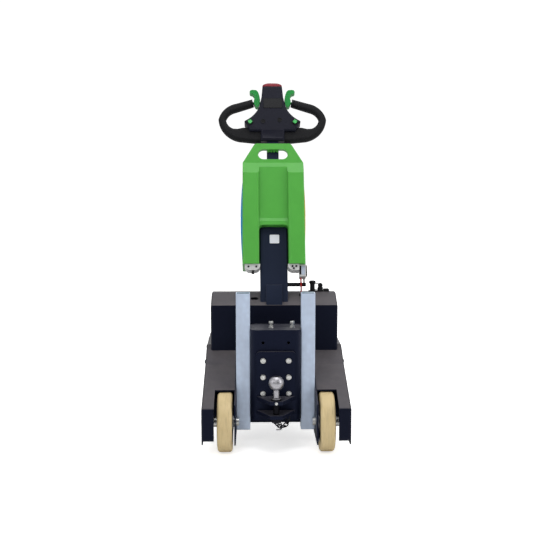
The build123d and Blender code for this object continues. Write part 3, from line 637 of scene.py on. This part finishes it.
worn = add_node(
    tree,
    "ShaderNodeMix",
    [("data_type", "RGBA"), (7, linear("85745A"))],
    [(0, dirt, "Result"), (6, rubber, 2)],
)
tree.links.new(worn.outputs[2], shader.inputs["Base Color"])
shader.inputs["Roughness"].default_value = 0.62
shader.inputs["Specular IOR Level"].default_value = 0.35
relief = add_node(
    tree, "ShaderNodeBump", [("Strength", 0.35), ("Distance", 0.0006)], [("Height", streaks, "Fac")]
)
tree.links.new(relief.outputs["Normal"], shader.inputs["Normal"])


def round_edges(piece, test, width, segments):
    """Rounds those edges of a piece that pass the test."""
    choose(piece, "edges", test)
    bpy.ops.mesh.bevel(offset=width, segments=segments, affect="EDGES")
    leave()


def model_tyre(radius, width, depth, shoulder, line_margin, line_width, line_depth):
    """A tyre round the Z axis: a ring with rounded shoulders and two fine lines round its tread."""
    tyre = start("cylinder", vertices=96, radius=radius, depth=width)
    choose(tyre, "faces", is_end)
    bpy.ops.mesh.inset(thickness=depth, use_individual=True)
    bpy.ops.mesh.bridge_edge_loops()
    outermost = radius * 0.995

    def on_rim(edge):
        low, high = (corner.co for corner in edge.verts)
        return min(low.xy.length, high.xy.length) > outermost and abs(low.z - high.z) < line_depth

    round_edges(tyre, on_rim, width=shoulder, segments=6)

    def on_tread(face):
        middle = face.calc_center_median()
        return middle.xy.length > outermost and abs(middle.z) < width / 2 - shoulder

    choose(tyre, "faces", on_tread)
    bpy.ops.mesh.inset(thickness=line_margin)
    bpy.ops.mesh.inset(thickness=line_width, depth=-line_depth)
    bpy.ops.mesh.inset(thickness=line_width, depth=line_depth)
    leave()
    return tyre


sides = ((1, "right"), (-1, "left"))
axle_setback, axle_height = 0.100, 0.100
wheel_middle = 0.170
stud_ring, stud_count = 0.034, 5
hub_face = 0.006
cast_metal = plated_metal("cast_aluminium", "C6C7C9", "8B8E92", 4, 0.38)
finish_nodes(cast_metal, "rim_right", "rim_left", "drive_unit")
finish_nodes(bright_zinc, "axle_right", "axle_left")
for hand, side_name in sides:
    wheel = f"drive_wheel_{side_name}"
    hub = at(hand * wheel_middle, front + axle_setback, axle_height) @ facing((hand, 0, 0))
    tyre = model_tyre(
        radius=0.0999,
        width=0.0499,
        depth=0.0318,
        shoulder=0.0100,
        line_margin=0.0022,
        line_width=0.0007,
        line_depth=0.0005,
    )
    settle(tyre, f"worn_tyre_{side_name}", tread, hub, wheel)
    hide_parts(f"tyre_{side_name}")
    hub_stud = model_bolt(radius=0.0058, height=0.004, foot_radius=0.0068, foot_height=0.0012)
    places = []
    for number in range(stud_count):
        angle = (number + 0.5) * math.tau / stud_count
        around = hub @ at(stud_ring * math.cos(angle), stud_ring * math.sin(angle), 0)
        places += [around @ at(0, 0, hub_face), around @ at(0, 0, -hub_face) @ half_turn]
    settle(set_out(hub_stud, places), f"hub_studs_{side_name}", bright_zinc, body=wheel)

# Castors.
# Two swivel castors under the rear floor: pressed and zinc-plated forks and top plates, with a
# ball race between them, and dark elastic tyres on cast rims. Four bolts hold each top plate.

castor_tread, tree, shader = start_material("dark_elastic_tread")
place = add_node(tree, "ShaderNodeTexCoord")
scuff_mm = 9
scuffs = add_node(
    tree,
    "ShaderNodeTexNoise",
    [("Scale", 1000 / scuff_mm), ("Detail", 5.0), ("Roughness", 0.6)],
    [("Vector", place, "Object")],
)
rubber = add_node(
    tree,
    "ShaderNodeMix",
    [("data_type", "RGBA"), (6, linear("1E1E21")), (7, linear("3C3A39"))],
    [(0, scuffs, "Fac")],
)
tree.links.new(rubber.outputs[2], shader.inputs["Base Color"])
shader.inputs["Roughness"].default_value = 0.7
relief = add_node(
    tree, "ShaderNodeBump", [("Strength", 0.3), ("Distance", 0.0005)], [("Height", scuffs, "Fac")]
)
tree.links.new(relief.outputs["Normal"], shader.inputs["Normal"])
pressed_zinc = plated_metal("pressed_zinc_plate", "B9BCBE", "85898C", 14, 0.36)
castor_side, castor_setback = 0.145, 0.535
top_bolt_side, top_bolt_run = 0.034, 0.043
race_height, race_drop, race_flat = 0.007, 0.0074, 0.0006
for hand, side_name in sides:
    finish_nodes(castor_tread, f"castor_tyre_{side_name}")
    finish_nodes(cast_metal, f"castor_rim_{side_name}")
    finish_nodes(pressed_zinc, f"castor_plate_{side_name}", f"castor_fork_{side_name}")
    plate_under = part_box(f"castor_plate_{side_name}")[0].z + race_height
    swivel = at(hand * castor_side, front + castor_setback, plate_under)
    top_bolt = model_bolt(radius=0.0065, height=0.005, foot_radius=0.0078, foot_height=0.0014)
    places = []
    for across in (-top_bolt_side, top_bolt_side):
        for along in (-top_bolt_run, top_bolt_run):
            places.append(swivel @ at(across, along, 0) @ half_turn)
    settle(set_out(top_bolt, places), f"castor_bolts_{side_name}", bright_zinc)
    race = start("torus", major_segments=48, minor_segments=10, major_radius=0.0315, minor_radius=0.0024)
    push(race, lambda face: face.normal.z > 0.8, (0, 0, -race_flat))
    race_place = swivel @ at(0, 0, -race_drop)
    settle(race, f"race_lip_{side_name}", pressed_zinc, race_place, f"castor_{side_name}")

# Fender screws.
# Button-head screws that hold the fenders to the floor tray and the hood to the fenders. They are
# blackened steel, with a sunk socket for the key.


def model_button(radius, height):
    """A button-head screw with a sunk socket, standing on the origin."""
    button = start("cylinder", vertices=24, radius=radius, depth=height, location=(0, 0, height / 2))
    shoulder, crown = (radius * 0.3, height * 0.35), (radius * 0.28, height * 0.08)
    socket = (radius * 0.04, -height * 0.7)
    step_face(button, is_top, shoulder, crown, socket)
    leave()
    fix_place(button)
    return button


# Setback and height of each screw on a side
fender_screws = [(0.300, 0.262), (0.420, 0.190), (0.560, 0.190), (0.420, 0.292), (0.560, 0.292)]
fender_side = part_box("fender_right")[1].x
places = []
for hand in (1, -1):
    for setback, height in fender_screws:
        places.append(at(hand * fender_side, front + setback, height) @ facing((hand, 0, 0)))
button = model_button(radius=0.0065, height=0.0034)
settle(set_out(button, places), "fender_screws", black_oxide)

# Hood fittings.
# A rubber grommet lines the hole in the hood's sloped front. The rear panel has pressed louvres
# for the motor's air and two quarter-turn locks.


def moulded_plastic(name, colour, patch_colour, grain_mm, roughness, sheen, soft=False):
    """Moulded plastic, with a fine grain and faint flow clouds, or scuffed where it is soft rubber."""
    patch_mm, patch_detail, patch_roughness = (22, 6.0, 0.6) if soft else (60, 4.0, 0.55)
    grain_strength, grain_depth = (0.25, 0.0004) if soft else (0.2, 0.0003)
    material, tree, shader = start_material(name)
    place = add_node(tree, "ShaderNodeTexCoord")
    patches = add_node(
        tree,
        "ShaderNodeTexNoise",
        [("Scale", 1000 / patch_mm), ("Detail", patch_detail), ("Roughness", patch_roughness)],
        [("Vector", place, "Object")],
    )
    tint = add_node(
        tree,
        "ShaderNodeMix",
        [("data_type", "RGBA"), (6, linear(colour)), (7, linear(patch_colour))],
        [(0, patches, "Fac")],
    )
    tree.links.new(tint.outputs[2], shader.inputs["Base Color"])
    shader.inputs["Roughness"].default_value = roughness
    shader.inputs["Specular IOR Level"].default_value = sheen
    grain = add_node(
        tree,
        "ShaderNodeTexNoise",
        [("Scale", 1000 / grain_mm), ("Detail", 2.0)],
        [("Vector", place, "Object")],
    )
    relief = add_node(
        tree,
        "ShaderNodeBump",
        [("Strength", grain_strength), ("Distance", grain_depth)],
        [("Height", grain, "Fac")],
    )
    tree.links.new(relief.outputs["Normal"], shader.inputs["Normal"])
    return material


black_rubber = moulded_plastic("black_rubber", "08080B", "101114", 1.4, 0.66, 0.16, soft=True)
hood_slope = math.radians(23.5)
mast_setback, mast_foot_height = 0.370, 0.48548
hole_side, hole_setback = -0.071, 0.358
hole_height = mast_foot_height + (hole_setback - mast_setback) * math.tan(hood_slope)
grommet_stretch, grommet_flatness = 0.0025, 0.66
grommet = start("torus", major_segments=40, minor_segments=10, major_radius=0.0105, minor_radius=0.0016)
for hand in (1, -1):
    push(grommet, lambda face: face.calc_center_median().x * hand > 0.0001, (hand * grommet_stretch, 0, 0))
choose(grommet, "faces", lambda face: True)
bpy.ops.transform.resize(value=(1.0, grommet_flatness, 1.0))
leave()
grommet_place = at(hole_side, front + hole_setback, hole_height) @ Matrix.Rotation(hood_slope, 4, "X")
settle(grommet, "hood_grommet", black_rubber, grommet_place)

panel_top = Vector((0, front + 0.425, 0.4985))
panel_low = Vector((0, front + 0.570, 0.3958))
panel_run = (panel_low - panel_top).normalized()
panel_turn = facing((0, -panel_run.z, panel_run.y))


def on_panel(side, run):
    """A place on the hood's rear panel: across, and down its slope from its upper fold."""
    middle = panel_top + panel_run * run
    return at(side, middle.y, middle.z) @ panel_turn


louvre_columns, louvre_count = (-0.08, 0.08), 6
louvre_start, louvre_pitch = 0.050, 0.0135
louvre_end, end_swell = 0.001, 1.02
louvre = start("cylinder", vertices=24, radius=0.0042, depth=0.13)
choose(louvre, "faces", is_end)
bpy.ops.mesh.inset(thickness=louvre_end)
bpy.ops.transform.resize(value=(1.0, 1.0, end_swell))
bpy.ops.mesh.select_all(action="SELECT")
bpy.ops.mesh.bisect(plane_co=(0, 0, 0), plane_no=(1, 0, 0), clear_outer=True, use_fill=True)
leave()
lie_across = Matrix.Rotation(math.pi / 2, 4, "Y")
places = []
for column in louvre_columns:
    for number in range(louvre_count):
        places.append(on_panel(column, louvre_start + number * louvre_pitch) @ lie_across)
settle(set_out(louvre, places), "hood_louvres", black_coat)

lock_sides, lock_run = (-0.19, 0.19), 0.150
lock_rim, lock_dish = (0.0015, 0.0008), (0.0045, -0.0016)
wing_size, wing_height, wing_shape = 0.003, 0.0032, (5.4, 0.8, 0.8)
lock = start("cylinder", vertices=32, radius=0.011, depth=0.003, location=(0, 0, 0.0015))
step_face(lock, is_top, lock_rim, lock_dish)
bpy.ops.mesh.primitive_cube_add(size=wing_size, location=(0, 0, wing_height), scale=wing_shape)
leave()
fix_place(lock)
places = [on_panel(side, lock_run) for side in lock_sides]
settle(set_out(lock, places), "hood_locks", bright_zinc)

# Mast sign.
# A small plastic plate glued to the post under the battery, white and left blank, with a thin
# raised rim.


def start_block(width, depth, height):
    """Adds a box of this size round the origin, to be shaped."""
    block = start("cube", size=1, scale=(width, depth, height))
    bpy.ops.object.transform_apply(location=False, rotation=False, scale=True)
    return block


def is_upright(edge):
    """Whether an edge stands upright."""
    return abs(edge.verts[0].co.z - edge.verts[1].co.z) > edge.calc_length() / 2


def model_plate(width, height, thickness, corner, rim):
    """A thin plate with round corners and a raised rim, its back on the origin's level."""
    plate = start("cube", size=1, scale=(width, height, thickness), location=(0, 0, thickness / 2))
    fix_place(plate)
    round_edges(plate, is_upright, width=corner, segments=5)
    choose(plate, "faces", is_top)
    bpy.ops.mesh.inset(thickness=rim)
    bpy.ops.mesh.inset(thickness=rim / 4, depth=-thickness / 3)
    leave()
    return plate


mast_lean = math.radians(23.5)
mast_place = at(0, front + mast_setback, mast_foot_height) @ Matrix.Rotation(-mast_lean, 4, "X")


def on_mast(side, depth, up):
    """A place on the leaning mast: across, behind its middle, and along it from its foot."""
    return mast_place @ at(side, depth, up)


post_front = -0.025
sign_side, sign_up = 0.003, 0.212
white_plate = moulded_plastic("white_sign_plastic", "E6E7EE", "DADCE4", 0.8, 0.35, 0.5)
sign = model_plate(width=0.035, height=0.033, thickness=0.0012, corner=0.003, rim=0.0014)
sign_place = on_mast(sign_side, post_front, sign_up) @ forwards
settle(sign, "post_sign", white_plate, sign_place)

# Post guides.
# Two strips of black nylon on the post's flanks, which the battery's rails slide down between.
# Their outer edges are rounded, so that the rails don't catch.

guide_nylon = moulded_plastic("black_guide_nylon", "0A0B0E", "101115", 1.0, 0.5, 0.14)
post_half = 0.050
guide_thickness, guide_depth = 0.0027, 0.036
guide_low, guide_high = 0.108, 0.264
for hand, side_name in sides:
    guide = start_block(guide_thickness, guide_depth, guide_high - guide_low)
    round_edges(
        guide, lambda edge: all(corner.co.x * hand > 0 for corner in edge.verts), width=0.0012, segments=2
    )
    guide_place = on_mast(hand * (post_half + guide_thickness / 2), 0, (guide_low + guide_high) / 2)
    settle(guide, f"post_guide_{side_name}", guide_nylon, guide_place)

# Guard bar plugs.
# Each square tube is closed at its top by a pressed-in grey plug, which sits flush
# on the cut edge and has a shallow dished middle. The plug's grey is darker than the bars: painted
# shade, standing for the dark inside of the tube's open top.

# The plug is a darker grey than the bars: painted shade of the tube's dark open top.
plug_grey_painted_shade = moulded_plastic("grey_plug_painted_shade", "6E7F8D", "617180", 1.0, 0.5, 0.3)
plug_margin = 0.0025
for side_name in ("right", "left"):
    low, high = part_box(f"guard_bar_{side_name}")
    plug = model_plate(
        width=high.x - low.x - plug_margin * 2,
        height=high.y - low.y - plug_margin * 2,
        thickness=0.0014,
        corner=0.004,
        rim=0.0026,
    )
    plug_place = at((low.x + high.x) / 2, (low.y + high.y) / 2, high.z)
    settle(plug, f"bar_plug_{side_name}", plug_grey_painted_shade, plug_place)

# Battery.
# A lift-off battery pack in a two-part moulded case of green ABS. It has a finely grained skin,
# a joint line down each side, four screws and a charge display behind, and blank coloured bands.

green_abs = moulded_plastic("green_abs_grained", "4C9C3D", "439036", 0.9, 0.34, 0.2)
finish_nodes(green_abs, "battery_case")
battery_foot = 0.106
battery_half, battery_back = 0.114, 0.036
blue_film = moulded_plastic("blue_band_film", "2180B8", "1B74AC", 2.0, 0.3, 0.4)
yellow_film = moulded_plastic("yellow_band_film", "D8B52F", "CF9F28", 2.0, 0.3, 0.4)
# Name, hand, film, middle along the mast, length, and how far the band bows out in its middle
flank_bands = [
    ("flank_band_left", -1, blue_film, 0.276, 0.300, 0.0062),
    ("flank_band_right", 1, yellow_film, 0.301, 0.210, 0.0026),
]
band_width, band_offset, band_corner = 0.062, -0.020, 0.007
film_edge, film_sink = 0.0009, 0.0003
facets_per_metre = 360
along_mast = Matrix.Rotation(math.pi / 2, 4, "Z") @ quarter_turn
for name, hand, film, middle_up, length, crown in flank_bands:
    bow_radius = length**2 / (8 * crown) + crown / 2
    foot = bow_radius - crown - film_edge
    band = start("cylinder", vertices=int(bow_radius * facets_per_metre), radius=bow_radius, depth=band_width)
    for cut_place, cut_normal in (
        ((0, foot, 0), (0, -1, 0)),
        ((length / 2, 0, 0), (1, 0, 0)),
        ((-length / 2, 0, 0), (-1, 0, 0)),
    ):
        choose(band, "faces", lambda face: True)
        bpy.ops.mesh.bisect(plane_co=cut_place, plane_no=cut_normal, clear_outer=True, use_fill=True)
    bpy.ops.mesh.select_all(action="SELECT")
    bpy.ops.transform.translate(value=(0, -foot, 0))
    round_edges(
        band,
        lambda edge: all(abs(abs(corner.co.x) - length / 2) < 0.0001 for corner in edge.verts)
        and abs(edge.verts[0].co.y - edge.verts[1].co.y) > film_edge / 2,
        width=band_corner,
        segments=5,
    )
    band_place = on_mast(hand * (battery_half - film_sink), band_offset, middle_up)
    settle(band, name, film, band_place @ facing((hand, 0, 0)) @ along_mast)

joint_black = moulded_plastic("joint_gasket", "0F1A0C", "1A2B16", 1.0, 0.7, 0.16, soft=True)
joint_width, joint_thickness, joint_length = 0.0018, 0.0010, 0.392
joint_offset, joint_start = 0.020, 0.006
joint_middle = battery_foot + joint_start + joint_length / 2
for hand, side_name in sides:
    strip = start_block(joint_width, joint_length, joint_thickness)
    round_edges(strip, lambda edge: True, width=0.0003, segments=2)
    strip_place = on_mast(hand * battery_half, joint_offset, joint_middle) @ facing((hand, 0, 0))
    settle(strip, f"case_joint_{side_name}", joint_black, strip_place)

backwards = facing((0, 1, 0))
case_screw_side, case_screw_ups = 0.094, (0.150, 0.470)
case_screw = model_button(radius=0.0048, height=0.0024)
places = []
for side in (-case_screw_side, case_screw_side):
    places += [on_mast(side, battery_back, up) @ backwards for up in case_screw_ups]
settle(set_out(case_screw, places), "battery_screws", black_oxide)

# The charge display on the battery's back: a dark window in a raised frame, with four lamps
display_side, display_up = -0.084, 0.330
lamp_count, lamp_pitch, lamp_crown = 4, 0.012, (0.0008, 0.0004)
display = model_plate(width=0.030, height=0.060, thickness=0.0030, corner=0.005, rim=0.0025)
black_gloss = moulded_plastic("black_gloss_window", "07080C", "0A0B10", 3.0, 0.2, 0.14)
display_place = on_mast(display_side, battery_back, display_up) @ backwards
settle(display, "charge_display", black_gloss, display_place)
lamp_glass = moulded_plastic("green_lamp_glass", "7FE08A", "6ED47A", 2.0, 0.2, 0.5)
lamp = start("cylinder", vertices=20, radius=0.0026, depth=0.0012, location=(0, 0, 0.0026))
step_face(lamp, is_top, lamp_crown)
leave()
fix_place(lamp)
lamp_rises = [(number - (lamp_count - 1) / 2) * lamp_pitch for number in range(lamp_count)]
places = [display_place @ at(0, rise, 0) for rise in lamp_rises]
settle(set_out(lamp, places), "charge_lamps", lamp_glass)

# Battery seats, connector and leads.
# The battery stands on two cradles of pale grey nylon, with a black peg and screws. The connector
# is pale grey too, with a black latch, and hangs on a thin black arm with its two leads.

grey_nylon = moulded_plastic("pale_grey_nylon", "BDBEBD", "A6A7A6", 0.9, 0.42, 0.35)
black_nylon = moulded_plastic("black_nylon", "0A0B0E", "101115", 1.0, 0.45, 0.16)
red_jacket = moulded_plastic("red_lead_jacket", "8E1618", "A32422", 1.2, 0.5, 0.16, soft=True)
black_jacket = moulded_plastic("black_lead_jacket", "0C0C0F", "17171B", 1.2, 0.5, 0.16, soft=True)
finish_nodes(grey_nylon, "battery_seats", "battery_connector")
finish_nodes(black_nylon, "connector_arm", "lead_gland")
finish_nodes(red_jacket, "lead_red")
finish_nodes(black_jacket, "lead_black")
peg_side, peg_front, peg_top = -0.076, -0.050, 0.085
peg_tip = (0.0012, -0.0012)
peg = start("cylinder", vertices=24, radius=0.0048, depth=0.013, location=(0, 0, -0.0065))
step_face(peg, lambda face: face.normal.z < -0.9, peg_tip)
leave()
settle(peg, "cradle_peg", black_nylon, on_mast(peg_side, peg_front, peg_top))

# Side of each cradle screw, and how far up the mast it is
cradle_screws = [(-0.092, 0.096), (-0.064, 0.096), (0.066, 0.097), (0.071, 0.089), (0.080, 0.097)]
cradle_front = -0.060
cradle_screw = model_button(radius=0.0036, height=0.0018)
places = [on_mast(side, cradle_front, up) @ forwards for side, up in cradle_screws]
settle(set_out(cradle_screw, places), "cradle_screws", black_oxide)

latch_side, latch_front, latch_up = 0.1174, -0.034, 0.084
latch_lean, latch_rise, latch_tip = -0.001, 0.004, (0.0012, 0.0015)
latch = start_block(0.005, 0.018, 0.034)
push(latch, is_top, (latch_lean, 0, latch_rise))
step_face(latch, is_top, latch_tip)
round_edges(latch, lambda edge: True, width=0.0007, segments=2)
settle(latch, "connector_latch", black_nylon, on_mast(latch_side, latch_front, latch_up))

connector_front = -0.052
blue_grey_nylon = moulded_plastic("blue_grey_nylon", "A9B3C2", "929CAC", 0.9, 0.38, 0.35)
# Name, side, place along the mast, width, height, material and slot
connector_plates = [
    ("connector_face", 0.105, 0.0835, 0.013, 0.032, blue_grey_nylon, "grey_plastic"),
    ("connector_side_bar", 0.0945, 0.0845, 0.006, 0.034, black_nylon, "black_plastic"),
]
for name, side, up, wide, high, material, slot in connector_plates:
    face_plate = model_plate(width=wide, height=high, thickness=0.0016, corner=0.0022, rim=0.0013)
    settle(face_plate, name, material, on_mast(side, connector_front, up) @ forwards)

# Handle ribs.
# Four ribs for the fingers, moulded with the case across the upper edge of the handle's slot.


def crown_ends(piece, inset, rise):
    """Steps a cylinder's two ends in, and out by a rise."""
    choose(piece, "faces", is_end)
    bpy.ops.mesh.inset(thickness=inset, use_individual=True)
    bpy.ops.mesh.extrude_faces_move(TRANSFORM_OT_shrink_fatten={"value": rise})
    leave()


rib_front, rib_up = -0.006, 0.5672
rib_sides = (-0.0165, -0.0055, 0.0055, 0.0165)
rib = start("cylinder", vertices=24, radius=0.0052, depth=0.034)
crown_ends(rib, inset=0.0012, rise=0.0012)
places = [on_mast(side, rib_front, rib_up) @ forwards for side in rib_sides]
settle(set_out(rib, places), "handle_ribs", green_abs)

# Switches on the hood's ridge.
# A charge socket under a rubber cap on its strap, and a key switch with its key. Both are black
# nylon on a rubber pad, with a small junction beside them, and are screwed in from below.


def is_upper(edge):
    """Whether an edge lies above the origin's level."""
    return min(corner.co.z for corner in edge.verts) > 0


finish_nodes(black_nylon, "charge_socket", "key_switch")
ridge_setback = 0.4125
ridge = at(0, front + ridge_setback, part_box("hood")[1].z)
cap_side, cap_lift = 0.142, 0.0335
cap_rim, cap_dish = (0.0022, 0.002), (0.005, -0.0008)
grip_inset, grip_ridge = 0.0003, 0.0008
cap = start("cylinder", vertices=32, radius=0.0112, depth=0.008)
step_face(cap, is_top, cap_rim, cap_dish)
choose(cap, "faces", lambda face: abs(face.normal.z) < 0.1 and face.index % 4 == 0)
bpy.ops.mesh.inset(thickness=grip_inset, use_individual=True)
bpy.ops.mesh.extrude_faces_move(TRANSFORM_OT_shrink_fatten={"value": grip_ridge})
leave()
settle(cap, "socket_cap", black_rubber, ridge @ at(cap_side, 0, cap_lift))

strap_side, strap_lift = 0.1545, 0.0185
strap_reach = 0.004
strap = start("torus", major_segments=32, minor_segments=8, major_radius=0.011, minor_radius=0.0016)
push(strap, lambda face: face.calc_center_median().x > strap_reach, (strap_reach, 0, 0))
strap_place = ridge @ at(strap_side, 0, strap_lift) @ quarter_turn
settle(strap, "cap_strap", black_rubber, strap_place)

key_side, key_lift = 0.171, 0.0065
key_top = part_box("key_switch")[1].z
bow = start("cylinder", vertices=28, radius=0.009, depth=0.003)
crown_ends(bow, inset=0.0014, rise=-0.0004)
bow_place = at(key_side, front + ridge_setback, key_top + key_lift) @ quarter_turn
settle(bow, "key_bow", black_nylon, bow_place)

pad_side, pad_lift = 0.164, 0.0019
pad = start_block(0.060, 0.018, 0.0036)
round_edges(pad, lambda edge: is_upper(edge) or is_upright(edge), width=0.0014, segments=3)
settle(pad, "ridge_pad", black_rubber, ridge @ at(pad_side, 0, pad_lift))

junction_side, junction_height = 0.1925, 0.0105
junction = start_block(0.021, 0.017, junction_height)
round_edges(junction, is_upper, width=0.0028, segments=3)
junction_place = ridge @ at(junction_side, 0, junction_height / 2)
settle(junction, "ridge_junction", black_nylon, junction_place)

# Tiller head.
# The head is a two-part moulding of black glass-filled nylon with a fine grain. The grips are
# soft black overmoulding, and the domed belly button on its end is polished red polycarbonate.

head_nylon = moulded_plastic("black_grained_nylon", "0E0F1B", "131421", 1.1, 0.5, 0.12)
finish_nodes(head_nylon, "tiller_head")
finish_nodes(black_rubber, "grip_right", "grip_left")
red_gloss = moulded_plastic("polished_red_polycarbonate", "76081C", "640617", 6.0, 0.25, 0.2)
button_foot = 0.840
button_width, button_depth, button_corner = 0.076, 0.047, 0.009
button_side_height, dome_height, dome_round = 0.005, 0.011, 0.006
dome_steps = 12
button = start_block(button_width, button_depth, button_side_height)
round_edges(button, is_upright, width=button_corner, segments=6)
choose(button, "faces", is_top)
wide, deep, high = button_width, button_depth, 0.0
for step in range(1, dome_steps):
    dome_angle = math.pi / 2 * step / dome_steps
    new_wide = button_width * math.cos(dome_angle)
    new_deep = button_depth - 2 * dome_round * (1 - math.cos(dome_angle))
    new_high = dome_height * math.sin(dome_angle)
    bpy.ops.mesh.extrude_region_move(TRANSFORM_OT_translate={"value": (0, 0, new_high - high)})
    bpy.ops.transform.resize(value=(new_wide / wide, new_deep / deep, 1.0))
    wide, deep, high = new_wide, new_deep, new_high
leave()
button_place = on_mast(0, 0, button_foot + button_side_height / 2)
settle(button, "mushroom_button", red_gloss, button_place)
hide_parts("belly_button")

head_foot, head_half_depth = 0.608, 0.027


def on_head(side, rise):
    """A place on the tiller head's front face, a rise above its foot, facing forwards."""
    return on_mast(side, -head_half_depth, head_foot + rise) @ forwards


panel_side, panel_rise = 0.002, 0.157
panel = model_plate(width=0.072, height=0.040, thickness=0.0016, corner=0.005, rim=0.0016)
settle(panel, "neck_panel", black_gloss, on_head(panel_side, panel_rise))

# Side and rise of each plug over the front screws. The plugs are near-black, darker than the head: painted
# shade, standing for the dimples' dark recesses
head_plugs = [(-0.036, 0.080), (0.027, 0.086)]
plug_rim, plug_dish = (0.0016, -0.0002), (0.0012, -0.0010)
head_plug = start("cylinder", vertices=28, radius=0.0085, depth=0.0016, location=(0, 0, 0.0008))
step_face(head_plug, is_top, plug_rim, plug_dish)
leave()
fix_place(head_plug)
places = [on_head(side, rise) for side, rise in head_plugs]
settle(set_out(head_plug, places), "head_plugs", black_rubber)

# Half the distance across each pair of back screws, and their rise
head_screws = [(0.034, 0.030), (0.030, 0.120), (0.060, 0.078)]
head_screw = model_button(radius=0.0042, height=0.002)
places = []
for half, rise in head_screws:
    for side in (-half, half):
        places.append(on_mast(side, head_half_depth, head_foot + rise) @ backwards)
settle(set_out(head_screw, places), "head_screws", black_oxide)

# The lower cover's edge: a shallow step round the block, which hides the clamp on the stem
cover_rise = 0.026
cover = model_plate(width=0.082, height=0.036, thickness=0.0014, corner=0.004, rim=0.0030)
settle(cover, "clamp_cover", head_nylon, on_head(0, cover_rise))

# Grip ends.
# A hard collar closes each soft grip at its free end, facing the thumb rocker.

collar_side, collar_rise = 0.079, 0.1684
grip_run, grip_fall = 0.0630, 0.0195
for hand, side_name in sides:
    collar = start("cylinder", vertices=36, radius=0.0158, depth=0.006)
    crown_ends(collar, inset=0.0024, rise=0.001)
    along_grip = facing((hand * grip_run, 0, -grip_fall))
    collar_place = on_mast(hand * collar_side, 0, head_foot + collar_rise) @ along_grip
    settle(collar, f"grip_collar_{side_name}", black_nylon, collar_place)

# Thumb rockers and side buttons.
# Two speed rockers of green ABS share a pin with capped ends, and two square push buttons sit in
# black bezels on the head's wings, under green lenses.

rocker_abs = moulded_plastic("green_abs_polished", "0B7E31", "08732B", 1.2, 0.28, 0.16)
finish_nodes(rocker_abs, "thumb_rockers")
finish_nodes(black_nylon, "side_buttons")
button_green = moulded_plastic("green_button_lens", "3DAA55", "2E9A45", 1.5, 0.22, 0.4)
lens_side, lens_rise, lens_stand = 0.086, 0.077, 0.005
lens_turn = math.radians(35)
pin_half, pin_rise, cap_crown = 0.0665, 0.170, (0.002, 0.0015)
for hand, side_name in sides:
    lens = model_plate(width=0.0138, height=0.0138, thickness=0.0016, corner=0.003, rim=0.0015)
    spin = Matrix.Rotation(-hand * lens_turn, 4, "Z")
    lens_place = on_head(hand * lens_side, lens_rise) @ at(0, 0, lens_stand) @ spin
    settle(lens, f"button_lens_{side_name}", button_green, lens_place)
    hub_cap = start("cylinder", vertices=28, radius=0.0078, depth=0.004)
    step_face(hub_cap, is_top, cap_crown)
    leave()
    cap_place = on_mast(hand * pin_half, 0, head_foot + pin_rise) @ facing((hand, 0, 0))
    settle(hub_cap, f"rocker_hub_{side_name}", rocker_abs, cap_place)
